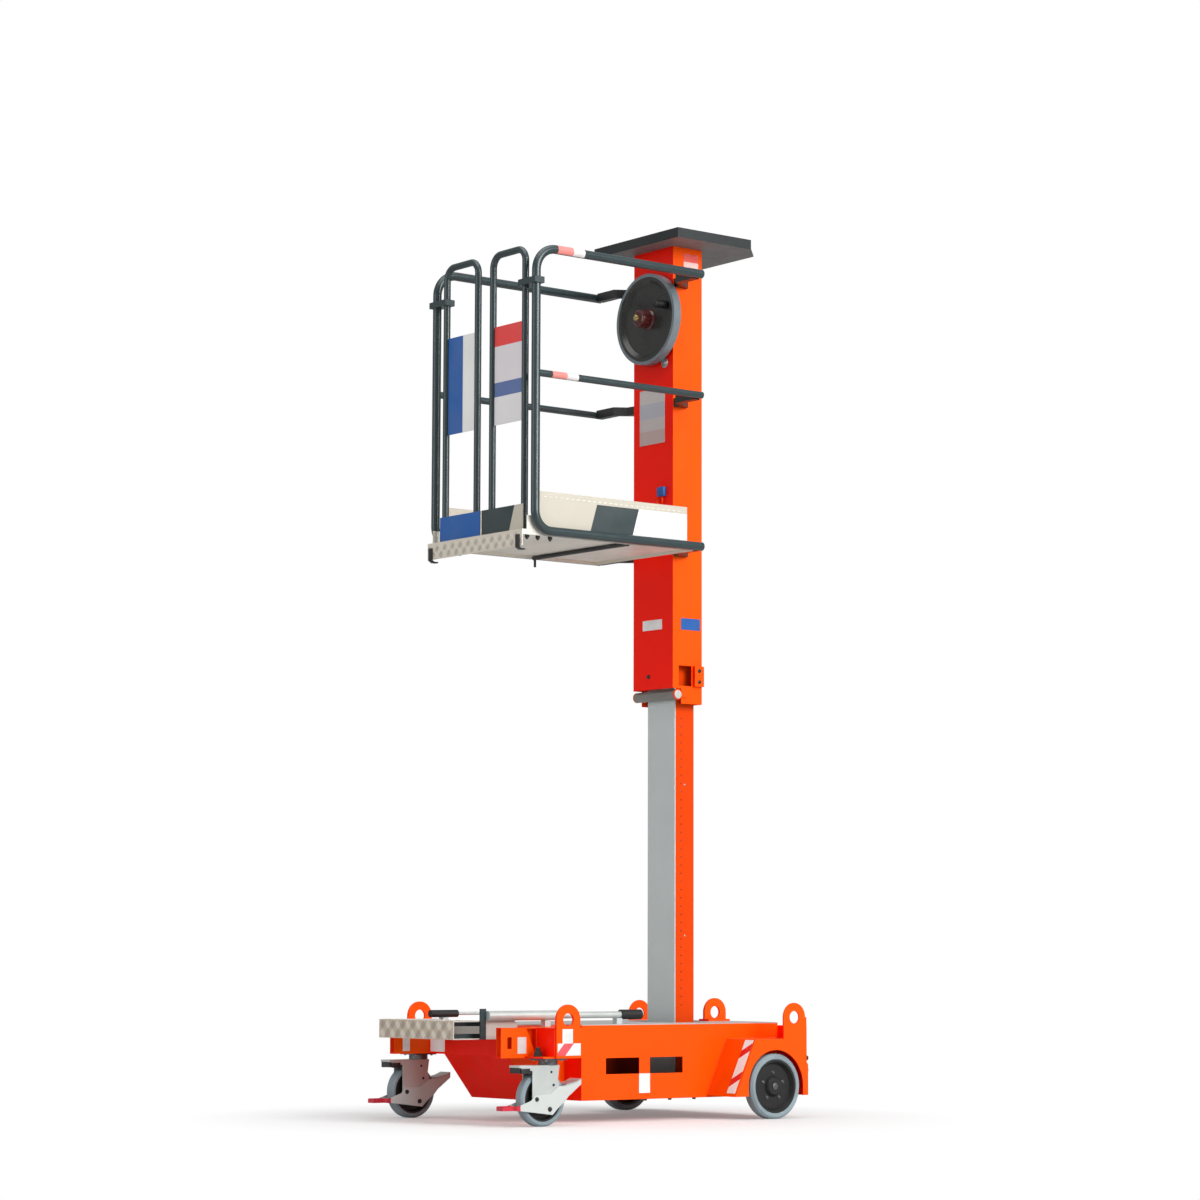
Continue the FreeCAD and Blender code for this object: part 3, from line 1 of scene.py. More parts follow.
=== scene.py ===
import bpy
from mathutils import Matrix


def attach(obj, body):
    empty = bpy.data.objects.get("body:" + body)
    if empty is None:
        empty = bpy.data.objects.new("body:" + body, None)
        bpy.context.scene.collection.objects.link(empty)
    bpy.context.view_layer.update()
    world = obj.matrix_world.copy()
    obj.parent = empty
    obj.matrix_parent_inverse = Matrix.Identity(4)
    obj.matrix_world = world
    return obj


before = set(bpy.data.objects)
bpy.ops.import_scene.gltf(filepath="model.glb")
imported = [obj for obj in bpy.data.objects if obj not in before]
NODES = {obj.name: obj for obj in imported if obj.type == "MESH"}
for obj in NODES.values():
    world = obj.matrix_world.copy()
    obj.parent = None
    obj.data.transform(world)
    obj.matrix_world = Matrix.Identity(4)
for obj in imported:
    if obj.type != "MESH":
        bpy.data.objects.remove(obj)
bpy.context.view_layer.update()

import math

import bpy
from mathutils import Euler, Matrix, Vector

bl_info = {
    "name": "Mast lift looks",
    "version": (1, 0, 0),
    "blender": (4, 5, 0),
    "location": "3D View > Sidebar > Mast lift",
    "description": "Finishes, fittings and studio for a push-around vertical mast lift",
    "category": "Object",
}

# The sign of x on each side, and the axis that points outwards there.
SIDES = (("right", 1), ("left", -1))
SIGNS = (1, -1)
OUTWARD = {1: "X", -1: "-X"}

# Linear colours seen on the machine.
ORANGE = (0.98, 0.088, 0.0)
# Deep red for orange faces that look ahead or down: painted shade.
ORANGE_FRONT_SHADE = (0.99, 0.009, 0.0)
INNER_ORANGE = (0.78, 0.056, 0.0)
# Dark red-brown for the enamel inside the tub: painted shade.
INSIDE_SHADE = (0.16, 0.010, 0.002)
SLATE = (0.017, 0.035, 0.039)
CREAM = (0.56, 0.52, 0.435)
# Darker sheet for the step's faces that look ahead: painted shade.
STEP_FRONT_SHADE = (0.58, 0.49, 0.39)
ALUMINIUM = (0.60, 0.60, 0.58)
GREY = (0.555, 0.60, 0.60)
ZINC = (0.60, 0.64, 0.62)
TYRE = (0.25, 0.32, 0.35)
BLACK = (0.012, 0.012, 0.013)
RED = (0.62, 0.008, 0.035)
WHITE = (0.85, 0.85, 0.84)
BLUE = (0.006, 0.10, 0.38)
WHEEL_RIM = (0.15, 0.18, 0.20)

# Corners of the space inside the tub's plates, where the enamel gets painted shade.
TUB_INSIDE = ((-0.3065, -0.2175, 0.0845), (0.3065, 0.7465, 0.3595))

# Half the width of the blend between two bands of colour.
BLEND = 0.0005

# Places that several pieces share, in metres; a pair is along and up.
TUB_SIDE = 0.309
EYE_SIDE = 0.476
WHEEL_AXLE = (0.593, 0.124)
INNER_MAST_SIDE = 0.0835
MAST_FRONT = 0.371
MAST_SIDE = 0.1235
RAIL_MIDDLE = 0.322
HAND_WHEEL_HEIGHT = 3.145

# The slanted front of a wheel housing: its foot, its head, and its run for each rise.
HOUSING_FOOT = (0.388, 0.088)
HOUSING_HEAD = (0.490, 0.303)
HOUSING_SLOPE = (HOUSING_HEAD[0] - HOUSING_FOOT[0]) / (HOUSING_HEAD[1] - HOUSING_FOOT[1])


# Helpers for materials

def new_material(name):
    """A material with its shader; returns (material, tree, shader)."""
    material = bpy.data.materials.new(name)
    material.use_nodes = True
    tree = material.node_tree
    shader = tree.nodes["Principled BSDF"]
    return material, tree, shader


def coordinates(tree):
    """The object coordinate output of a tree."""
    return tree.nodes.new("ShaderNodeTexCoord").outputs["Object"]


def separated(tree, output, axis):
    """One component of a vector output."""
    item = tree.nodes.new("ShaderNodeSeparateXYZ")
    tree.links.new(output, item.inputs["Vector"])
    return item.outputs[axis]


def place_along(tree, axis):
    """The place on the machine along an axis."""
    return separated(tree, coordinates(tree), axis)


def facing(tree):
    """The direction that a face looks in."""
    return tree.nodes.new("ShaderNodeNewGeometry").outputs["Normal"]


def length(tree, vector):
    """The length of a vector output."""
    item = tree.nodes.new("ShaderNodeVectorMath")
    item.operation = "LENGTH"
    tree.links.new(vector, item.inputs[0])
    return item.outputs["Value"]


def calculated(tree, operation, *values):
    """The result of a Math node; each value is a number or an output."""
    item = tree.nodes.new("ShaderNodeMath")
    item.operation = operation
    for socket, value in zip(item.inputs, values):
        if isinstance(value, float):
            socket.default_value = value
        else:
            tree.links.new(value, socket)
    return item.outputs["Value"]


def noise(tree, scale, detail=4.0, stretch=None):
    """A noise value over the object coordinates."""
    source = coordinates(tree)
    if stretch:
        mapping = tree.nodes.new("ShaderNodeMapping")
        mapping.inputs["Scale"].default_value = stretch
        tree.links.new(source, mapping.inputs["Vector"])
        source = mapping.outputs["Vector"]
    texture = tree.nodes.new("ShaderNodeTexNoise")
    texture.inputs["Scale"].default_value = scale
    texture.inputs["Detail"].default_value = detail
    tree.links.new(source, texture.inputs["Vector"])
    return texture.outputs["Fac"]


def mapped(tree, value, low, high, to_low, to_high):
    """value moved from one range to another, with its ends held."""
    item = tree.nodes.new("ShaderNodeMapRange")
    item.inputs["From Min"].default_value = low
    item.inputs["From Max"].default_value = high
    item.inputs["To Min"].default_value = to_low
    item.inputs["To Max"].default_value = to_high
    tree.links.new(value, item.inputs["Value"])
    return item.outputs["Result"]


def past(tree, value, edge, blend=BLEND):
    """None before an edge, one past it."""
    return mapped(tree, value, edge - blend, edge + blend, 0.0, 1.0)


def mixed(tree, factor, first, second):
    """A colour between first and second; each is a colour or an output."""
    item = tree.nodes.new("ShaderNodeMix")
    item.data_type = "RGBA"
    tree.links.new(factor, item.inputs["Factor"])
    # Inputs 6 and 7 and output 2 are the colour sockets among those of each kind.
    for socket, colour in ((item.inputs[6], first), (item.inputs[7], second)):
        if isinstance(colour, tuple):
            socket.default_value = (*colour, 1.0)
        else:
            tree.links.new(colour, socket)
    return item.outputs[2]


def shaded(colour, factor):
    """colour made darker or lighter."""
    return tuple(min(1.0, channel * factor) for channel in colour)


def bump(tree, shader, height, strength, distance, edge=0.0):
    """Ties a height output to the shader's normal, over edges worn round by edge."""
    item = tree.nodes.new("ShaderNodeBump")
    if edge:
        rounded = tree.nodes.new("ShaderNodeBevel")
        rounded.samples = 4
        rounded.inputs["Radius"].default_value = edge
        tree.links.new(rounded.outputs["Normal"], item.inputs["Normal"])
    item.inputs["Strength"].default_value = strength
    item.inputs["Distance"].default_value = distance
    tree.links.new(height, item.inputs["Height"])
    tree.links.new(item.outputs["Normal"], shader.inputs["Normal"])


def roughen(tree, shader, pattern, low, high):
    """Ties a roughness from low to high to the shader, as a pattern goes."""
    roughness = mapped(tree, pattern, 0.3, 0.7, low, high)
    tree.links.new(roughness, shader.inputs["Roughness"])


def front_shade_faces(tree):
    """One on faces that look ahead or down, none on those that look up or sideways; it places the
    painted shade of the enamel.
    """
    item = tree.nodes.new("ShaderNodeVectorMath")
    item.operation = "DOT_PRODUCT"
    item.inputs[1].default_value = (0.0, -1.0, -0.9)
    tree.links.new(facing(tree), item.inputs[0])
    return mapped(tree, item.outputs["Value"], 0.5, 0.95, 0.0, 1.0)


def within(tree, low, high):
    """One inside the box between two corners, none outside it."""
    inside = None
    for axis, near, far in zip("XYZ", low, high):
        place = place_along(tree, axis)
        for edge, before in ((near, 0.0), (far, 1.0)):
            step = mapped(tree, place, edge - BLEND, edge + BLEND, before, 1.0 - before)
            inside = calculated(tree, "MULTIPLY", inside, step) if inside else step
    return inside


def paint(name, colour, front=None, rough=0.32, coat=0.35, gloss=0.5, inside_shade=None):
    """Enamel over metal: faint tone changes, orange peel and dust near the floor, with painted
    shade from a front colour on faces that look ahead or down and from a dark colour inside a given
    box.
    """
    material, tree, shader = new_material(name)
    tone = mapped(tree, noise(tree, 2.2), 0.35, 0.65, 0.0, 1.0)
    base = mixed(tree, tone, shaded(colour, 0.93), shaded(colour, 1.03))
    # Painted shade on faces that look ahead or down.
    if front:
        base = mixed(tree, front_shade_faces(tree), base, front)
    # Painted shade inside the given box.
    if inside_shade:
        base = mixed(tree, within(tree, *inside_shade), base, INSIDE_SHADE)
    low = mapped(tree, place_along(tree, "Z"), 0.05, 0.45, 1.0, 0.0)
    dust = mapped(tree, noise(tree, 9.0, 8.0), 0.45, 0.75, 0.0, 0.35)
    base = mixed(tree, calculated(tree, "MULTIPLY", low, dust), base, shaded(colour, 0.55))
    tree.links.new(base, shader.inputs["Base Color"])
    roughen(tree, shader, noise(tree, 14.0, 6.0), rough - 0.05, rough + 0.08)
    shader.inputs["Specular IOR Level"].default_value = gloss
    shader.inputs["Coat Weight"].default_value = coat
    shader.inputs["Coat Roughness"].default_value = 0.12
    bump(tree, shader, noise(tree, 260.0, 2.0), 0.05, 0.0006, 0.002)
    return material


def metal(name, colour, rough, stretch=(1.0, 1.0, 1.0), metallic=0.85, front=None):
    """Bare or zinc plated metal with fine brushing and a few darker patches, and a front colour on
    faces that look ahead as painted light and shade.
    """
    material, tree, shader = new_material(name)
    patch = mapped(tree, noise(tree, 7.0, 6.0), 0.35, 0.7, 0.0, 1.0)
    base = mixed(tree, patch, shaded(colour, 0.86), colour)
    # Painted light and shade: the front colour on faces that look ahead.
    if front:
        ahead = mapped(tree, separated(tree, facing(tree), "Y"), -0.7, -0.9, 0.0, 1.0)
        base = mixed(tree, ahead, base, front)
    tree.links.new(base, shader.inputs["Base Color"])
    shader.inputs["Metallic"].default_value = metallic
    lines = noise(tree, 60.0, 3.0, stretch)
    roughen(tree, shader, lines, rough - 0.06, rough + 0.1)
    bump(tree, shader, lines, 0.12, 0.0004, 0.001)
    return material


def plastic(name, colour, rough, grain=320.0):
    """Moulded plastic or rubber with a fine grain."""
    material, tree, shader = new_material(name)
    tone = mapped(tree, noise(tree, 11.0, 5.0), 0.3, 0.7, 0.0, 1.0)
    base = mixed(tree, tone, shaded(colour, 0.82), shaded(colour, 1.08))
    tree.links.new(base, shader.inputs["Base Color"])
    roughen(tree, shader, noise(tree, 22.0, 4.0), rough - 0.07, rough + 0.07)
    bump(tree, shader, noise(tree, grain, 2.0), 0.15, 0.0004)
    return material


def slanted(tree, axis, other, slope):
    """Place along an axis, moved with the place along another one."""
    place = place_along(tree, axis)
    if not slope:
        return place
    return calculated(tree, "MULTIPLY_ADD", place_along(tree, other), slope, place)


def radial(tree, centre):
    """Distance from an axis along Y through centre, an (x, z) pair."""
    joint = tree.nodes.new("ShaderNodeCombineXYZ")
    for axis, middle in zip("XZ", centre):
        away = calculated(tree, "SUBTRACT", place_along(tree, axis), middle)
        tree.links.new(away, joint.inputs[axis])
    return length(tree, joint.outputs["Vector"])


def stepped(tree, place, steps):
    """A colour from each edge on; each step is (edge, colour)."""
    base = steps[0][1]
    for edge, colour in steps[1:]:
        base = mixed(tree, past(tree, place, edge), base, colour)
    return base


def film(name, colours, rough=0.38, scratch=0.10):
    """A sheet or film with worn patches: colours is a function that draws its bands on a tree."""
    material, tree, shader = new_material(name)
    base = colours(tree)
    tone = mapped(tree, noise(tree, 6.0, 5.0), 0.35, 0.7, 0.0, scratch)
    base = mixed(tree, tone, base, (0.30, 0.28, 0.25))
    tree.links.new(base, shader.inputs["Base Color"])
    roughen(tree, shader, noise(tree, 18.0, 4.0), rough - 0.06, rough + 0.08)
    bump(tree, shader, noise(tree, 180.0, 2.0), 0.05, 0.0005, 0.001)
    return material


def bands(axis, steps, other="Z", slope=0.0):
    """Colour bands along an axis, slanted by slope along another."""
    return lambda tree: stepped(tree, slanted(tree, axis, other, slope), steps)


def toe_colours(tree):
    """Films along a toe board, with a bare strip of sheet above them."""
    films_end, films_top = 0.2975, 2.325
    along = stepped(tree, slanted(tree, "Y", "Z", -0.3), (
        (-1.0, CREAM), (-0.845, SLATE), (-0.64, WHITE)))
    end = past(tree, place_along(tree, "Y"), films_end)
    along = mixed(tree, end, along, (0.10, 0.13, 0.14))
    return mixed(tree, past(tree, place_along(tree, "Z"), films_top), along, CREAM)


def gate_colours(tree, kick, sign):
    """A gate's kick plate and the sign above it."""
    kick_top, blend = 2.455, 0.005
    return mixed(tree, past(tree, place_along(tree, "Z"), kick_top, blend), kick, sign)


def right_gate_colours(tree):
    """Slate film with a slanted end on the kick plate, and the blank sign above."""
    kick = stepped(tree, slanted(tree, "X", "Z", -0.35), (
        (-5.0, shaded(SLATE, 1.1)), (-0.592, CREAM)))
    sign = stepped(tree, place_along(tree, "Z"), (
        (0.0, (0.78, 0.76, 0.77)), (2.735, (0.10, 0.16, 0.36)), (2.79, (0.74, 0.70, 0.73)),
        (2.93, (0.80, 0.05, 0.05))))
    return gate_colours(tree, kick, sign)


def left_gate_colours(tree):
    """Blue film on the kick plate, and a blank sign in blue and white above."""
    sign = stepped(tree, place_along(tree, "X"), ((-1.0, BLUE), (-0.145, WHITE)))
    return gate_colours(tree, BLUE, sign)


def wheel_colours(tree):
    """Hand wheel: hub ring, dark dish and a lighter rim, by their radius."""
    return stepped(tree, radial(tree, (0.0, HAND_WHEEL_HEIGHT)), (
        (-1.0, (0.07, 0.012, 0.010)), (0.046, (0.022, 0.022, 0.021)), (0.170, WHEEL_RIM)))


def brake_colours(tree):
    """Brake: red pedal, zinc plated lever plates and a black block over the tyre."""
    pedal_end, block_low = -0.604, 0.1835
    along = stepped(tree, place_along(tree, "Y"), ((-1.0, RED), (pedal_end, ZINC)))
    return mixed(tree, past(tree, place_along(tree, "Z"), block_low), along, BLACK)


def hazard_colours(tree):
    """White and red bands that fall to the machine's middle on both sides."""
    across = calculated(tree, "ABSOLUTE", place_along(tree, "X"))
    place = calculated(tree, "MULTIPLY_ADD", across, -0.6, place_along(tree, "Z"))
    red = (0.75, 0.01, 0.01)
    return stepped(tree, place, (
        (-1.0, WHITE), (-0.128, red), (-0.098, WHITE), (-0.022, red), (0.008, WHITE)))


def tray_colours(tree):
    """Tray: dark rims and top, grey on faces that look down."""
    below = mapped(tree, separated(tree, facing(tree), "Z"), -0.5, -0.9, 0.0, 1.0)
    return mixed(tree, below, shaded(SLATE, 0.25), (0.145, 0.15, 0.15))


def make_materials(settings):
    """Every finish, by name."""
    return {
        # The orange enamels carry painted shade on faces that look ahead or down, and the base's
        # enamel also inside the tub.
        "orange": paint("orange enamel", tuple(settings.main_colour), ORANGE_FRONT_SHADE,
                        rough=0.36, coat=0.04, gloss=0.12, inside_shade=TUB_INSIDE),
        "inner_orange": paint("inner mast enamel", INNER_ORANGE, ORANGE_FRONT_SHADE, rough=0.36,
                              coat=0.04, gloss=0.12),
        "slate": paint("slate enamel", tuple(settings.rail_colour), rough=0.34, coat=0.25),
        "tray": film("slate tray enamel", tray_colours, 0.5, scratch=0.02),
        "grey": paint("grey strip enamel", GREY, rough=0.42, coat=0.1),
        "rim": film("hand wheel enamel", wheel_colours, 0.26, scratch=0.02),
        "brake": film("brake lever finishes", brake_colours, 0.42),
        "black": paint("black enamel", BLACK, rough=0.4, coat=0.15),
        # Front colours on these sheets are painted light and shade: a cream deck flange, a darker
        # step front and a darker floor lip.
        "aluminium": metal("mill aluminium", ALUMINIUM, 0.4, (0.3, 6.0, 6.0),
                           front=(0.62, 0.58, 0.52), metallic=0.5),
        "step_sheet": metal("step chequer sheet", (0.60, 0.57, 0.52), 0.45, (0.3, 6.0, 6.0),
                            front=STEP_FRONT_SHADE, metallic=0.3),
        "floor_sheet": metal("chequer aluminium", (0.80, 0.78, 0.70), 0.45, (0.3, 6.0, 6.0),
                             front=(0.72, 0.66, 0.56), metallic=0.3),
        # Rising bars lighter and falling bars darker, their front faces most: painted highlight and
        # painted shade.
        "tread_lit_bar": metal("chequer bars", (0.80, 0.76, 0.69), 0.4, (6.0, 0.3, 6.0),
                           metallic=0.2, front=(1.0, 0.95, 0.86)),
        "tread_shaded_bar": metal("falling chequer bars", (0.62, 0.57, 0.50), 0.4, (6.0, 0.3, 6.0),
                            metallic=0.3, front=(0.15, 0.11, 0.08)),
        "zinc": metal("bright zinc", ZINC, 0.42, (4.0, 1.0, 1.0), metallic=0.45),
        "steel": metal("plated steel", (0.5, 0.5, 0.5), 0.3, (1.0, 1.0, 8.0)),
        "roller": metal("ground roller steel", (0.26, 0.255, 0.235), 0.38, (1.0, 8.0, 8.0),
                        metallic=0.5),
        # Dark steel, darker than the real plating: painted shade on the castor mounts under the
        # brackets and on the bolts in the wheel hubs.
        "shade_dark_steel": metal("dark steel", (0.16, 0.16, 0.165), 0.4),
        "brass": metal("yellow zinc", (0.55, 0.42, 0.18), 0.32, (1.0, 1.0, 8.0)),
        "tyre": plastic("grey rubber", TYRE, 0.62),
        "hub": plastic("black nylon", (0.006, 0.006, 0.006), 0.55),
        "pedal": plastic("red nylon", RED, 0.35),
        "white": plastic("white film", WHITE, 0.4, 90.0),
        "blue": plastic("blue film", BLUE, 0.4, 90.0),
        "silver": film("silver film", bands("Z", (
            (0.0, (0.55, 0.40, 0.38)), (2.70, (0.58, 0.52, 0.52)), (2.75, (0.48, 0.48, 0.54)),
            (2.81, (0.60, 0.55, 0.54)))), 0.45),
        "toe": film("toe board sheet", toe_colours),
        "left_panel": film("left gate films", left_gate_colours),
        "right_panel": film("right gate films", right_gate_colours),
        "rail_tape": film("guard rail tape", bands("Y", (
            (-1.0, (0.78, 0.24, 0.21)), (-0.292, (0.72, 0.68, 0.68)))), 0.3),
        "mid_tape": film("middle rail tape", bands("Y", (
            (-1.0, (0.78, 0.24, 0.21)), (-0.318, (0.72, 0.68, 0.68)))), 0.3),
        "front_tape": film("front hazard tape", bands("Y", (
            (-5.0, WHITE), (-0.700, (0.80, 0.08, 0.10)), (-0.655, WHITE)), "Z", -0.9), 0.3),
        "side_tape": film("housing hazard tape", hazard_colours, 0.3),
        # Mast top label: pale below, and red above 3.372 m, where the red is painted shadow of the
        # tray.
        "top_tape": film("mast top label", bands("Z", (
            (0.0, (0.85, 0.55, 0.52)), (3.372, (0.80, 0.10, 0.08)))), 0.3),
        "silver_white": plastic("pale film", (0.62, 0.60, 0.60), 0.4, 90.0),
        "hub_red": paint("hub red enamel", (0.085, 0.012, 0.010), rough=0.3),
        "floor": studio_floor(),
    }


def studio_floor():
    """Plain pale floor that shows white to the camera except where it is shaded."""
    material, tree, shader = new_material("studio floor")
    base = mixed(tree, mapped(tree, noise(tree, 0.4), 0.3, 0.7, 0.0, 1.0),
                 (0.60, 0.60, 0.60), (0.62, 0.62, 0.62))
    tree.links.new(base, shader.inputs["Base Color"])
    shader.inputs["Roughness"].default_value = 0.8
    shader.inputs["Emission Color"].default_value = (1.0, 1.0, 1.0, 1.0)
    away = mapped(tree, length(tree, coordinates(tree)), 0.8, 1.5, 0.0, 1.0)
    camera = tree.nodes.new("ShaderNodeLightPath").outputs["Is Camera Ray"]
    tree.links.new(mapped(tree, camera, 0.0, 1.0, 0.0, 0.22),
                   shader.inputs["Emission Strength"])
    glow = tree.nodes.new("ShaderNodeEmission")
    blend = tree.nodes.new("ShaderNodeMixShader")
    tree.links.new(calculated(tree, "MULTIPLY", away, camera), blend.inputs["Fac"])
    tree.links.new(shader.outputs["BSDF"], blend.inputs[1])
    tree.links.new(glow.outputs["Emission"], blend.inputs[2])
    tree.links.new(blend.outputs["Shader"], tree.nodes["Material Output"].inputs["Surface"])
    return material


def studio_world():
    """White to the camera and in reflections, and a softer light on the machine."""
    world = bpy.data.worlds.new("studio")
    world.use_nodes = True
    tree = world.node_tree
    background = tree.nodes["Background"]
    background.inputs["Color"].default_value = (1, 1, 1, 1)
    path = tree.nodes.new("ShaderNodeLightPath")
    seen = calculated(tree, "MAXIMUM", path.outputs["Is Camera Ray"],
                      path.outputs["Is Transmission Ray"])
    strength = mapped(tree, seen, 0.0, 1.0, 0.42, 1.0)
    tree.links.new(strength, background.inputs["Strength"])
    return world


# Helpers for modelling

def start():
    """Leaves edit mode and deselects everything."""
    if bpy.context.object and bpy.context.object.mode != "OBJECT":
        bpy.ops.object.mode_set(mode="OBJECT")
    bpy.ops.object.select_all(action="DESELECT")


def active():
    """The object that the last operator made."""
    return bpy.context.view_layer.objects.active


def pick(item):
    """Selects one object alone and makes it the active one."""
    start()
    item.select_set(True)
    bpy.context.view_layer.objects.active = item


def apply_place(item):
    """Moves the item's placement into its vertices."""
    pick(item)
    bpy.ops.object.transform_apply(location=True, rotation=True, scale=True)


def put(item, place, turn):
    """Turns the item and moves it to a place, in its vertices."""
    item.rotation_euler = turn
    item.location = place
    apply_place(item)


def block(low, high, bevel, segments=2):
    """A block between two corners with rounded edges."""
    start()
    middle = [(a + b) / 2 for a, b in zip(low, high)]
    bpy.ops.mesh.primitive_cube_add(size=1, location=middle)
    item = active()
    item.scale = [b - a for a, b in zip(low, high)]
    apply_place(item)
    bpy.ops.object.mode_set(mode="EDIT")
    bpy.ops.mesh.select_all(action="SELECT")
    bpy.ops.mesh.bevel(offset=bevel, segments=segments, affect="EDGES")
    bpy.ops.object.mode_set(mode="OBJECT")
    return item


# How a piece made along Z is turned to point along another axis.
TURNS = {
    "X": Euler((0, math.pi / 2, 0)), "-X": Euler((0, -math.pi / 2, 0)),
    "Y": Euler((-math.pi / 2, 0, 0)), "-Y": Euler((math.pi / 2, 0, 0)),
    "Z": Euler((0, 0, 0)), "-Z": Euler((math.pi, 0, 0)),
}


def turned(base, axis, rings, sides=32):
    """A round piece: each ring is (radius, height above base along the axis)."""
    start()
    bpy.ops.mesh.primitive_circle_add(vertices=sides, radius=rings[0][0], fill_type="NGON",
                                      location=(0, 0, rings[0][1]))
    item = active()
    apply_place(item)
    bpy.ops.object.mode_set(mode="EDIT")
    bpy.ops.mesh.select_all(action="SELECT")
    for before, after in zip(rings, rings[1:]):
        rise = after[1] - before[1]
        bpy.ops.mesh.extrude_region_move(TRANSFORM_OT_translate={"value": (0, 0, rise)})
        grow = after[0] / before[0]
        bpy.ops.transform.resize(value=(grow, grow, 1), center_override=(0, 0, 0))
    bpy.ops.mesh.select_all(action="SELECT")
    bpy.ops.mesh.normals_make_consistent(inside=False)
    bpy.ops.object.mode_set(mode="OBJECT")
    put(item, base, TURNS[axis])
    return item


def sheet(outline, low, high, axis, edge=None):
    """A flat piece: outline is a list of pairs on the plane across axis, low to high along it."""
    start()
    bpy.ops.mesh.primitive_circle_add(vertices=len(outline), radius=1, fill_type="NGON")
    item = active()
    for vertex, pair in zip(item.data.vertices, outline):
        spot = list(pair)
        spot.insert("XYZ".index(axis), low)
        vertex.co = spot
    bpy.ops.object.mode_set(mode="EDIT")
    bpy.ops.mesh.select_all(action="SELECT")
    move = [0.0, 0.0, 0.0]
    move["XYZ".index(axis)] = high - low
    bpy.ops.mesh.extrude_region_move(TRANSFORM_OT_translate={"value": move})
    bpy.ops.mesh.select_all(action="SELECT")
    bpy.ops.mesh.normals_make_consistent(inside=False)
    bpy.ops.mesh.bevel(offset=edge or abs(high - low) * 0.25, segments=1, affect="EDGES")
    bpy.ops.object.mode_set(mode="OBJECT")
    return item


def square(low, high):
    """The four corners between two pairs."""
    return [low, (high[0], low[1]), high, (low[0], high[1])]


def repeated(item, count, step):
    """The item in a row of count copies, a step apart."""
    pick(item)
    row = item.modifiers.new("row", "ARRAY")
    row.count = count
    row.use_relative_offset = False
    row.use_constant_offset = True
    row.constant_offset_displace = step
    bpy.ops.object.modifier_apply(modifier=row.name)
    return item


def bead(base, turn, run):
    """A weld bead: overlapping drops in a row from base, upright and then turned."""
    radius, pitch = 0.003, 0.005
    drop = turned((0, 0, 0), "Z", (
        (radius * 0.45, -pitch * 0.8), (radius * 0.85, -pitch * 0.3), (radius, 0.0),
        (radius * 0.7, pitch * 0.4), (radius * 0.25, pitch * 0.7)), 8)
    item = repeated(drop, max(2, int(run / pitch)), (0, 0, pitch))
    put(item, base, turn)
    return item


def bolt(base, axis, size):
    """A hexagon head on a washer, with a rounded top."""
    washer = turned(base, axis, ((size * 1.25, 0.0), (size * 1.25, size * 0.2),
                                 (size * 1.15, size * 0.26)), 24)
    head = turned(base, axis, ((size, size * 0.2), (size, size * 0.8),
                               (size * 0.86, size * 0.92), (size * 0.5, size * 0.95)), 6)
    return joined([washer, head])


def bar_group(middle, cell, lean):
    """Three parallel bars of a chequer sheet around middle, at lean degrees."""
    turn = math.radians(lean)
    half_length, half_width, apart = cell * 0.36, cell * 0.07, cell * 0.28
    sunk, raised, rounding = -0.0006, 0.0011, 0.0009
    bars = []
    for place in (-apart, 0.0, apart):
        bar = block((-half_length, -half_width, sunk), (half_length, half_width, raised),
                    rounding, 1)
        put(bar, (middle[0] - math.sin(turn) * place, middle[1] + math.cos(turn) * place, 0),
            (0, 0, turn))
        bars.append(bar)
    return bars


def joined(items):
    """The items as one mesh."""
    start()
    for item in items:
        item.select_set(True)
    bpy.context.view_layer.objects.active = items[0]
    if len(items) > 1:
        bpy.ops.object.join()
    return items[0]


def finished(items, name, body, material):
    """Joins the items into a piece that rides on a body and wears a finish."""
    piece = joined(items)
    piece.name = name
    piece.data.name = name
    bpy.ops.object.shade_smooth_by_angle(angle=math.radians(35))
    piece.data.materials.clear()
    piece.data.materials.append(material)
    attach(piece, body)
    return piece


def wear(node, material):
    """Gives a CAD node its finish."""
    item = NODES[node]
    item.data.materials.clear()
    item.data.materials.append(material)
    for face in item.data.polygons:
        face.material_index = 0


# The values that a user would change

class LooksSettings(bpy.types.PropertyGroup):
    """Colours of the enamel, sizes of the small fittings and the main light."""

    main_colour: bpy.props.FloatVectorProperty(
        name="Main colour", description="Enamel of the base and the outer mast",
        default=ORANGE, size=3, min=0.0, max=1.0, subtype="COLOR")
    rail_colour: bpy.props.FloatVectorProperty(
        name="Rail colour", description="Enamel of the rails, the gates and the step's arms",
        default=SLATE, size=3, min=0.0, max=1.0, subtype="COLOR")
    bolt_size: bpy.props.FloatProperty(
        name="Bolt size", description="Radius of the main bolt heads", default=0.009,
        min=0.002, unit="LENGTH")
    plate_thickness: bpy.props.FloatProperty(
        name="Plate thickness", description="Thickness of the blank plates", default=0.0012,
        min=0.0005, unit="LENGTH")
    tread_pitch: bpy.props.FloatProperty(
        name="Tread pitch", description="Distance between the bars of the chequer sheet",
        default=0.026, min=0.01, unit="LENGTH")
    key_power: bpy.props.FloatProperty(
        name="Key light", description="Power of the key light", default=900.0, min=0.0)


# Filled by the first operator, for all the others.
MATERIALS = {}


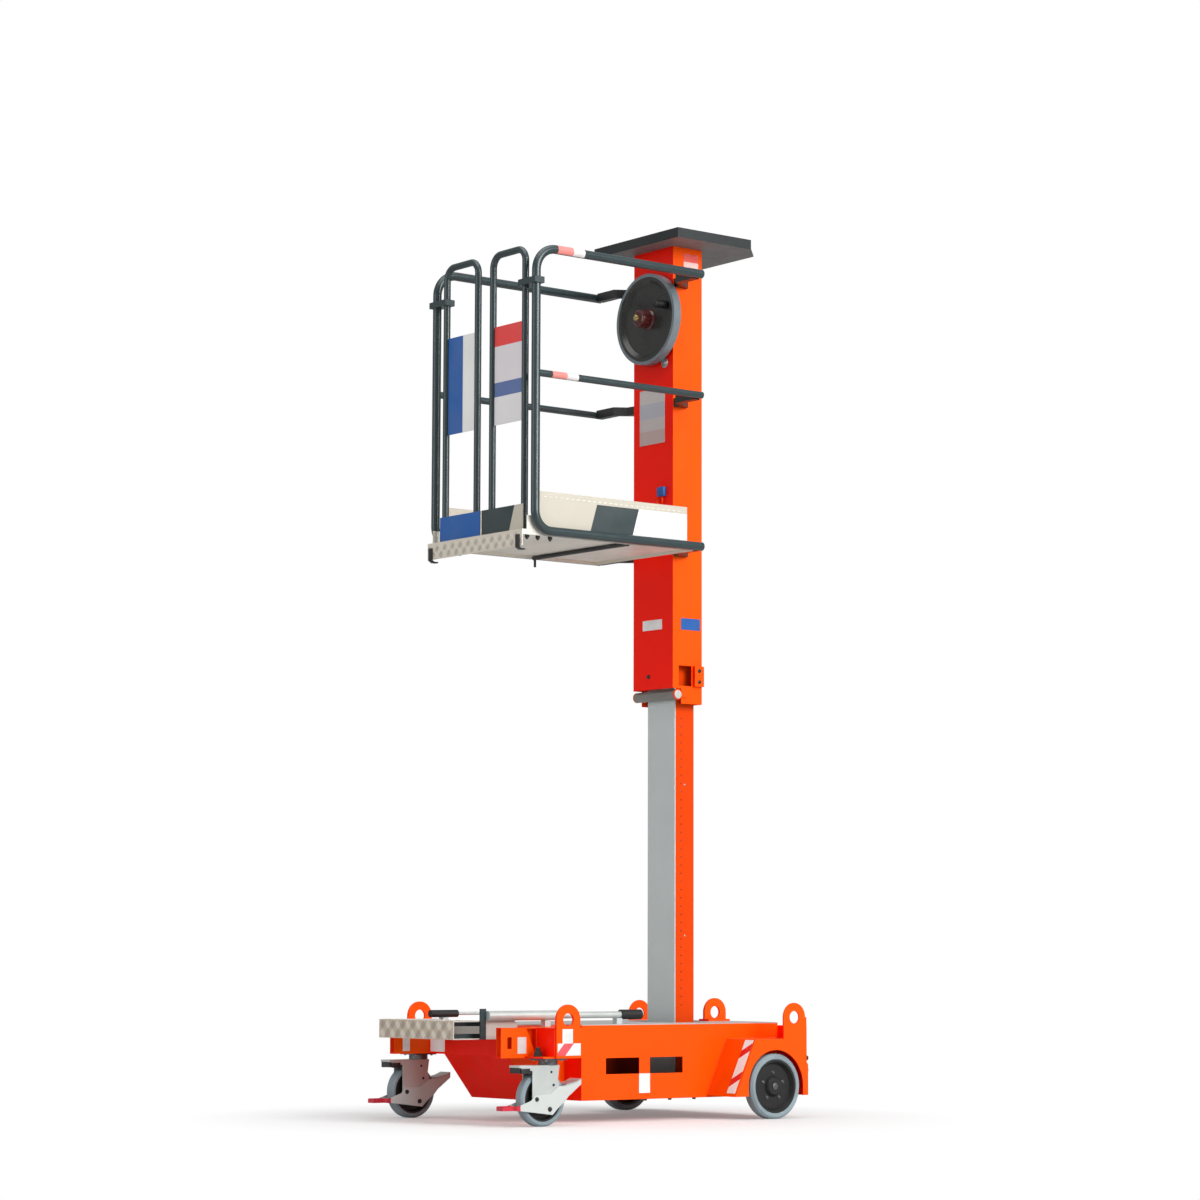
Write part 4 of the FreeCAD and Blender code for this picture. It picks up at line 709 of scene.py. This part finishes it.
class MASTLIFT_OT_finishes(bpy.types.Operator):
    """Gives the machine's main pieces their finishes"""

    bl_idname = "mastlift.finishes"
    bl_label = "Finishes"

    def execute(self, context):
        MATERIALS.update(make_materials(context.scene.mast_lift_looks))
        # The CAD nodes that wear each finish.
        table = {
            "orange": ("chassis_tub", "castor_brackets", "lifting_eyes", "wheel_housings",
                       "rear_cross_plate", "outer_mast", "mast_side_fittings"),
            "inner_orange": ("inner_mast",),
            "slate": ("step_arms", "guard_rail_right", "guard_rail_left", "gate_hinges",
                      "gate_frame_right", "gate_frame_left"),
            "tray": ("tool_tray",),
            "aluminium": ("deck_plate",),
            "step_sheet": ("entry_step",),
            "toe": ("toe_boards",),
            "grey": ("inner_mast_strip", "strut_saddles", "hand_wheel_bearing"),
            "roller": ("mast_roller",),
            "floor_sheet": ("platform_floor",),
            "rim": ("hand_wheel",),
            "zinc": ("castor_fork_right", "castor_fork_left", "stub_axles", "deck_struts"),
            # The castor mounts wear the darkened steel: painted shade under the brackets.
            "shade_dark_steel": ("castor_mounts",),
            "tyre": ("castor_tyre_right", "castor_tyre_left", "wheel_tyre_right",
                     "wheel_tyre_left"),
            "hub": ("castor_hub_right", "castor_hub_left", "wheel_hub_right",
                    "wheel_hub_left", "hand_wheel_knob", "guide_pads", "strut_sleeves"),
            "black": ("under_floor_rod", "rail_brackets"),
            "brake": ("castor_brake_right", "castor_brake_left"),
            "left_panel": ("gate_panels_left",),
            "right_panel": ("gate_panels_right",),
        }
        for finish, members in table.items():
            for node in members:
                wear(node, MATERIALS[finish])
        return {"FINISHED"}


class MASTLIFT_OT_chassis_fittings(bpy.types.Operator):
    """Adds the chassis bolts, weld beads and hub bolts"""

    bl_idname = "mastlift.chassis_fittings"
    bl_label = "Chassis fittings"

    def execute(self, context):
        size = context.scene.mast_lift_looks.bolt_size
        upright = (0, 0, 0)
        lying = (-math.pi / 2, 0, 0)
        slanting = (-math.atan(HOUSING_SLOPE), 0, 0)
        bolts = []
        welds = []
        # Beads along the eye plate, the bracket's box and the housing: place, turn, run.
        seams = (
            ((0.466, -0.4655, 0.254), upright, 0.098),
            ((0.466, -0.3545, 0.254), upright, 0.098),
            ((0.2055, -0.4655, 0.254), upright, 0.098),
            ((0.355, -0.4655, 0.258), upright, 0.095),
            ((TUB_SIDE, 0.388, 0.094), slanting, 0.225),
            ((TUB_SIDE, 0.495, 0.303), lying, 0.245),
        )
        for sign in SIGNS:
            # Washer, nut and stud on the bracket, over the castor.
            spot = (0.398 * sign, -0.490, 0.252)
            bolts.append(turned(spot, "Z", ((0.019, 0.0), (0.019, 0.003)), 28))
            bolts.append(turned(spot, "Z", (
                (0.0165, 0.003), (0.0165, 0.017), (0.0140, 0.019)), 6))
            bolts.append(turned(spot, "Z", (
                (0.0095, 0.018), (0.0095, 0.032), (0.0080, 0.034)), 20))
            # The rear cross plate's bolts and those under the tub.
            for height in (0.229, 0.183):
                bolts.append(bolt((0.462 * sign, 0.757, height), "Y", size * 1.1))
            for along in (-0.06, 0.10, 0.22, 0.34):
                bolts.append(bolt((0.290 * sign, along, 0.082), "-Z", size * 0.8))
            for (across, along, height), turn, run in seams:
                welds.append(bead((across * sign, along, height), turn, run))
        finished(bolts, "chassis_bolts", "base", MATERIALS["black"])
        finished(welds, "chassis_welds", "base", MATERIALS["orange"])
        # Five bolts in a circle round each fixed wheel's axle, and a cap on the axle, in darkened
        # steel as painted shade of the recessed hub.
        along, height = WHEEL_AXLE
        circle = 0.052
        for side, sign in SIDES:
            hub = []
            for step in range(5):
                angle = math.radians(90 + 72 * step)
                hub.append(bolt((0.4585 * sign, along + circle * math.cos(angle),
                                 height + circle * math.sin(angle)), OUTWARD[sign],
                                size * 0.62))
            hub.append(turned((0.4715 * sign, along, height), OUTWARD[sign],
                              ((0.013, 0.0), (0.013, 0.003), (0.009, 0.0045))))
            finished(hub, "wheel_bolts_" + side, "fixed_wheel_" + side,
                     MATERIALS["shade_dark_steel"])
        return {"FINISHED"}


class MASTLIFT_OT_castor_fittings(bpy.types.Operator):
    """Adds the castors' bolts, hood pads, plate bolts, pedal ribs and brake release"""

    bl_idname = "mastlift.castor_fittings"
    bl_label = "Castor fittings"

    def execute(self, context):
        size = context.scene.mast_lift_looks.bolt_size
        for side, sign in SIDES:
            middle = 0.412 * sign
            dark = []
            for face, turn in (("X", 1), ("-X", -1)):
                # Bolt places as (across, along, height, size).
                for across, along, height, scale in (
                        (0.0338, -0.530, 0.100, 0.75), (0.0338, -0.471, 0.063, 0.8),
                        (0.0305, -0.452, 0.150, 0.45), (0.0305, -0.462, 0.197, 0.4)):
                    dark.append(bolt((middle + across * turn, along, height), face,
                                     size * scale))
                # A black pad on the side of the hood.
                low, high = sorted((middle + 0.0300 * turn, middle + 0.0325 * turn))
                dark.append(block((low, -0.601, 0.192), (high, -0.560, 0.211), 0.0008))
            finished(dark, "castor_bolts_" + side, "castor_" + side,
                     MATERIALS["black"])
            # The four bolts of the castor's plate, under the bracket.
            apart = 0.036
            fixed = [bolt((middle + across, -0.455 + along, 0.240), "-Z", size * 0.5)
                     for across in (-apart, apart) for along in (-apart, apart)]
            finished(fixed, "castor_plate_bolts_" + side, "base",
                     MATERIALS["steel"])
            rib = block((middle - 0.017, -0.668, 0.0755), (middle + 0.017, -0.6655, 0.0768),
                        0.0004)
            finished([repeated(rib, 7, (0, 0.0075, 0))], "pedal_ribs_" + side,
                     "castor_" + side, MATERIALS["pedal"])
            release = sheet([(-0.395, 0.1475), (-0.350, 0.1565), (-0.3262, 0.1675),
                             (-0.3262, 0.1715), (-0.351, 0.1605), (-0.396, 0.1515)],
                            middle - 0.0342, middle + 0.0342, "X", 0.0008)
            finished([release], "brake_release_" + side, "castor_" + side,
                     MATERIALS["zinc"])
        return {"FINISHED"}


class MASTLIFT_OT_mast_fittings(bpy.types.Operator):
    """Adds the mast's bolts, roller caps, screws, rivets, plug and clip, and the floor's nuts"""

    bl_idname = "mastlift.mast_fittings"
    bl_label = "Mast fittings"

    def execute(self, context):
        size = context.scene.mast_lift_looks.bolt_size
        # Bolts of the rail brackets and the side lugs, and caps on the roller's ends.
        bolts, caps = [], []
        for sign in SIGNS:
            face = OUTWARD[sign]
            for height in (3.279, 2.798, 2.202):
                for along in (0.393, 0.424):
                    bolts.append(bolt((0.1355 * sign, along, height), face, size * 0.85))
            for height in (1.693, 1.737):
                bolts.append(bolt((0.1375 * sign, 0.495, height), face, size * 0.7))
            caps.append(turned((0.1285 * sign, 0.3925, 1.640), face, (
                (0.0170, 0.0), (0.0170, 0.0020), (0.0150, 0.0035), (0.0060, 0.0035)), 32))
        bolts.append(bolt((-0.0277, MAST_FRONT, 1.717), "-Y", size * 0.8))
        finished(bolts, "mast_bolts", "carriage", MATERIALS["black"])
        finished(caps, "roller_caps", "carriage", MATERIALS["zinc"])
        # Screws and a row of rivets up the inner mast's sides.
        screws, rivets = [], []
        for sign in SIGNS:
            across, face = INNER_MAST_SIDE * sign, OUTWARD[sign]
            for height in (0.698, 1.290):
                screws.append(bolt((across, 0.4645, height), face, size * 0.35))
            rivet = bolt((across, 0.4465, 0.43), face, size * 0.24)
            rivets.append(repeated(rivet, 36, (0, 0, 0.032)))
        finished(screws, "inner_mast_screws", "base", MATERIALS["steel"])
        finished(rivets, "inner_mast_rivets", "base", MATERIALS["hub_red"])
        plug = turned((0.073, MAST_FRONT, 2.963), "-Y", (
            (0.020, 0.0), (0.020, 0.003), (0.016, 0.005), (0.015, 0.003), (0.010, 0.003),
            (0.009, 0.006), (0.005, 0.007)), 32)
        finished([plug], "mast_plug", "carriage", MATERIALS["steel"])
        # Studs with nuts and a bent hook under the platform's front.
        nuts = []
        for sign in SIGNS:
            for along in (-0.472, -0.422, -0.364):
                spot = (0.290 * sign, along, 2.196)
                nuts.append(turned(spot, "-Z", ((0.005, 0.0), (0.005, 0.028)), 12))
                nuts.append(turned(spot, "-Z", (
                    (0.0085, 0.0), (0.0095, 0.001), (0.0095, 0.020), (0.0085, 0.022)), 6))
            nuts.append(sheet([(-0.5075, 2.184), (-0.5135, 2.184), (-0.5135, 2.136),
                               (-0.500, 2.128), (-0.480, 2.128), (-0.480, 2.133),
                               (-0.4985, 2.133), (-0.5075, 2.1385)],
                              0.270 * sign, 0.292 * sign, "X", 0.0008))
        finished(nuts, "floor_nuts", "carriage", MATERIALS["black"])
        # The clip on the mast's front, with its ring.
        clip = block((0.040, 0.355, 2.428), (0.084, MAST_FRONT, 2.466), 0.003)
        finished([clip], "mast_clip", "carriage", MATERIALS["blue"])
        start()
        bpy.ops.mesh.primitive_torus_add(location=(0.052, 0.362, 2.415), major_radius=0.018,
                                         minor_radius=0.0035, major_segments=32,
                                         minor_segments=10, rotation=(math.pi / 2, 0, 0))
        ring = active()
        bpy.ops.transform.resize(value=(0.9, 1.0, 1.15))
        apply_place(ring)
        finished([ring], "mast_clip_ring", "carriage", MATERIALS["orange"])
        return {"FINISHED"}


class MASTLIFT_OT_hand_wheel_fittings(bpy.types.Operator):
    """Adds the hand wheel's nut, hub ring and knob cap"""

    bl_idname = "mastlift.hand_wheel_fittings"
    bl_label = "Hand wheel fittings"

    def execute(self, context):
        nut = turned((0, 0.288, HAND_WHEEL_HEIGHT), "-Y", (
            (0.013, 0.0), (0.013, 0.010), (0.011, 0.012), (0.007, 0.0125)), 6)
        finished([nut], "hand_wheel_nut", "hand_wheel", MATERIALS["brass"])
        ring = turned((0, 0.290, HAND_WHEEL_HEIGHT), "Y", (
            (0.028, 0.0), (0.034, 0.004), (0.036, 0.012), (0.036, 0.045), (0.042, 0.052)), 40)
        finished([ring], "hand_wheel_hub_cover", "hand_wheel",
                 MATERIALS["hub_red"])
        cap = turned((0.116, 0.2907, 3.187), "-Y", (
            (0.0158, 0.0), (0.0165, 0.004), (0.0150, 0.010), (0.0090, 0.0135),
            (0.0030, 0.0145)), 28)
        finished([cap], "knob_cap", "hand_wheel", MATERIALS["hub"])
        return {"FINISHED"}


class MASTLIFT_OT_tread(bpy.types.Operator):
    """Adds the raised bars of the chequer sheet on the floor, its lip and the step"""

    bl_idname = "mastlift.tread"
    bl_label = "Chequer tread"

    def execute(self, context):
        pitch = context.scene.mast_lift_looks.tread_pitch
        # Name, body, corner of the field, turn, cell, cells across and up.
        table = (
            ("floor_tread", "carriage", (-0.286, -0.492, 2.204), (0, 0, 0), pitch, (22, 30)),
            ("lip_tread", "carriage", (-0.2925, -0.507, 2.156), (math.pi / 2, 0, 0),
             0.0255, (24, 2)),
            ("step_tread", "base", (-0.221, -0.742, 0.380), (0, 0, 0), pitch, (16, 4)),
            ("step_front_tread", "base", (-0.2145, -0.757, 0.329), (math.pi / 2, 0, 0),
             0.033, (14, 2)),
        )
        for name, body, base, turn, cell, counts in table:
            # The rising bars get the lighter finish and the falling bars the darker one: painted
            # highlight and painted shade.
            for kind, finish, lean in (("rising", "tread_lit_bar", 45), ("falling", "tread_shaded_bar", -45)):
                bars = []
                for column in (0, 1):
                    row = column if lean > 0 else 1 - column
                    bars.extend(bar_group((cell * column, cell * row), cell, lean))
                field = joined(bars)
                repeated(field, counts[0] // 2, (cell * 2, 0, 0))
                repeated(field, counts[1] // 2, (0, cell * 2, 0))
                put(field, base, turn)
                finished([field], name + "_" + kind, body, MATERIALS[finish])
        # One row of dashes along the bare strip of each toe board.
        dashes = []
        for sign in SIGNS:
            dash = block((0.2995 * sign - 0.0008, -0.400, 2.333),
                         (0.2995 * sign + 0.0012, -0.386, 2.3365), 0.0005)
            dashes.append(repeated(dash, 26, (0, pitch, 0)))
        finished(dashes, "toe_board_tread", "carriage", MATERIALS["floor_sheet"])
        return {"FINISHED"}


class MASTLIFT_OT_plates(bpy.types.Operator):
    """Adds the blank plates, films and reflective tapes"""

    bl_idname = "mastlift.plates"
    bl_label = "Plates and tapes"

    def execute(self, context):
        thick = context.scene.mast_lift_looks.plate_thickness
        front, side = MAST_FRONT, MAST_SIDE
        # Name, body, finish, axis across the plate, low and high along it, outline.
        flat = (
            ("mast_front_label", "carriage", "white", "Y", front, front - thick,
             square((-0.064, 1.901), (0.056, 1.941))),
            ("mast_side_label", "carriage", "blue", "X", side, side + thick,
             square((0.412, 1.897), (0.509, 1.943))),
            ("mast_rating_label", "carriage", "silver", "Y", front, front - thick,
             square((-0.085, 2.645), (0.073, 2.867))),
            ("mast_top_tape", "carriage", "top_tape", "X", side, side + thick,
             square((0.425, 3.335), (0.500, 3.405))),
        )
        for name, body, finish, axis, low, high, outline in flat:
            finished([sheet(outline, low, high, axis)], name, body,
                     MATERIALS[finish])
        # The same plates on both sides of the base: name, finish, face, outline.
        paired = (
            ("eye_label", "white", EYE_SIDE, square((-0.438, 0.300), (-0.390, 0.352))),
            ("front_hazard", "front_tape", EYE_SIDE, square((-0.460, 0.256), (-0.354, 0.300))),
            ("beam_label", "silver_white", 0.355, square((-0.552, 0.262), (-0.512, 0.322))),
            ("tub_label", "white", TUB_SIDE, square((0.055, 0.105), (0.108, 0.178))),
        )
        for name, finish, place, outline in paired:
            pieces = [sheet(outline, place * sign, (place + thick) * sign, "X")
                      for sign in SIGNS]
            finished(pieces, name + "s", "base", MATERIALS[finish])
        # Films on the beams' inner faces and on the front of the brackets' boxes.
        inner = [sheet(square((-0.589, 0.256), (-0.556, 0.332)), 0.325 * sign,
                       (0.325 - thick) * sign, "X") for sign in SIGNS]
        finished(inner, "beam_inner_labels", "base", MATERIALS["white"])
        box_front = -0.465
        fronts = []
        for sign in SIGNS:
            left, right = sorted((0.212 * sign, 0.316 * sign))
            fronts.append(sheet(square((left, 0.254), (right, 0.322)), box_front,
                                box_front - thick, "Y"))
        finished(fronts, "bracket_front_labels", "base", MATERIALS["white"])
        # A strip up each housing's slanted front, near its outer edge.
        foot, head = [(HOUSING_FOOT[0] + HOUSING_SLOPE * (height - HOUSING_FOOT[1]), height)
                      for height in (0.100, 0.300)]
        lift = (-thick, thick * HOUSING_SLOPE)
        strip = [foot, head, (head[0] + lift[0], head[1] + lift[1]),
                 (foot[0] + lift[0], foot[1] + lift[1])]
        pieces = [sheet(strip, 0.420 * sign, 0.468 * sign, "X", thick * 0.25)
                  for sign in SIGNS]
        finished(pieces, "housing_hazards", "base", MATERIALS["side_tape"])
        # Tapes round the rails, cut open on the inner side: radius, height, start, length.
        tapes = ((0.01725, 3.279, -0.366, 0.129, "rail_tape"),
                 (0.01385, 2.798, -0.387, 0.124, "mid_tape"))
        rim = 0.0006
        for radius, height, along, run, finish in tapes:
            sleeves = []
            for sign in SIGNS:
                across = RAIL_MIDDLE * sign
                sleeve = turned((across, along, height), "Y", (
                    (radius - rim, 0.0), (radius, rim), (radius, run - rim),
                    (radius - rim, run)), 40)
                pick(sleeve)
                bpy.ops.object.mode_set(mode="EDIT")
                bpy.ops.mesh.select_all(action="SELECT")
                bpy.ops.mesh.bisect(plane_co=(across, 0, height), plane_no=(-sign, 0, -0.35),
                                    clear_outer=True, use_fill=True)
                bpy.ops.object.mode_set(mode="OBJECT")
                sleeves.append(sleeve)
            finished(sleeves, finish + "s", "carriage", MATERIALS[finish])
        return {"FINISHED"}


class MASTLIFT_OT_studio(bpy.types.Operator):
    """Adds the pale floor, soft lights and the camera of the photo"""

    bl_idname = "mastlift.studio"
    bl_label = "Studio"

    def execute(self, context):
        start()
        bpy.ops.mesh.primitive_plane_add(size=120, location=(0, 0, 0))
        ground = active()
        ground.name = "studio_floor"
        ground.data.materials.append(MATERIALS["floor"])
        context.scene.world = studio_world()
        # Name, place, size and power of each light, all turned to the machine's middle.
        lights = (
            ("key", (9.0, 1.5, 5.5), 5.0, context.scene.mast_lift_looks.key_power),
            ("top", (1.0, -1.0, 8.5), 6.0, 260.0),
            ("front", (-1.5, -9.0, 3.5), 5.0, 170.0),
        )
        for name, where, size, power in lights:
            start()
            bpy.ops.object.light_add(type="AREA", location=where)
            lamp = active()
            lamp.name = name
            lamp.data.size = size
            lamp.data.energy = power
            aim = Vector((0, 0, 1.6)) - Vector(where)
            lamp.rotation_euler = aim.to_track_quat("-Z", "Y").to_euler()
        # The photo's camera, fitted to points of the photo.
        tilt, heading, roll = [math.radians(angle) for angle in (96.178, 51.872, 0.175)]
        turn = Euler((tilt, 0, heading)).to_matrix() @ Matrix.Rotation(roll, 3, "Z")
        bpy.ops.object.camera_add(location=(10.129, -7.8466, 0.609))
        camera = active()
        camera.rotation_euler = turn.to_euler()
        camera.data.lens = 99.33
        camera.data.sensor_width = 36.0
        context.scene.camera = camera
        context.scene.view_settings.view_transform = "Standard"
        return {"FINISHED"}


class MASTLIFT_PT_looks(bpy.types.Panel):
    """Panel with the steps that finish the mast lift"""

    bl_label = "Mast lift"
    bl_idname = "MASTLIFT_PT_looks"
    bl_space_type = "VIEW_3D"
    bl_region_type = "UI"
    bl_category = "Mast lift"

    def draw(self, context):
        settings = context.scene.mast_lift_looks
        for name in ("main_colour", "rail_colour", "bolt_size", "plate_thickness",
                     "tread_pitch", "key_power"):
            self.layout.prop(settings, name)
        for operator in OPERATORS:
            self.layout.operator(operator.bl_idname)


OPERATORS = (
    MASTLIFT_OT_finishes,
    MASTLIFT_OT_chassis_fittings,
    MASTLIFT_OT_castor_fittings,
    MASTLIFT_OT_mast_fittings,
    MASTLIFT_OT_hand_wheel_fittings,
    MASTLIFT_OT_tread,
    MASTLIFT_OT_plates,
    MASTLIFT_OT_studio,
)


def register():
    """Adds the classes and the settings."""
    bpy.utils.register_class(LooksSettings)
    for operator in OPERATORS:
        bpy.utils.register_class(operator)
    bpy.utils.register_class(MASTLIFT_PT_looks)
    bpy.types.Scene.mast_lift_looks = bpy.props.PointerProperty(type=LooksSettings)


def unregister():
    """Removes the settings and the classes."""
    del bpy.types.Scene.mast_lift_looks
    bpy.utils.unregister_class(MASTLIFT_PT_looks)
    for operator in reversed(OPERATORS):
        bpy.utils.unregister_class(operator)
    bpy.utils.unregister_class(LooksSettings)


def main():
    """Builds the looks in order."""
    register()
    bpy.ops.mastlift.finishes()
    bpy.ops.mastlift.chassis_fittings()
    bpy.ops.mastlift.castor_fittings()
    bpy.ops.mastlift.mast_fittings()
    bpy.ops.mastlift.hand_wheel_fittings()
    bpy.ops.mastlift.tread()
    bpy.ops.mastlift.plates()
    bpy.ops.mastlift.studio()


if __name__ == "__main__":
    main()
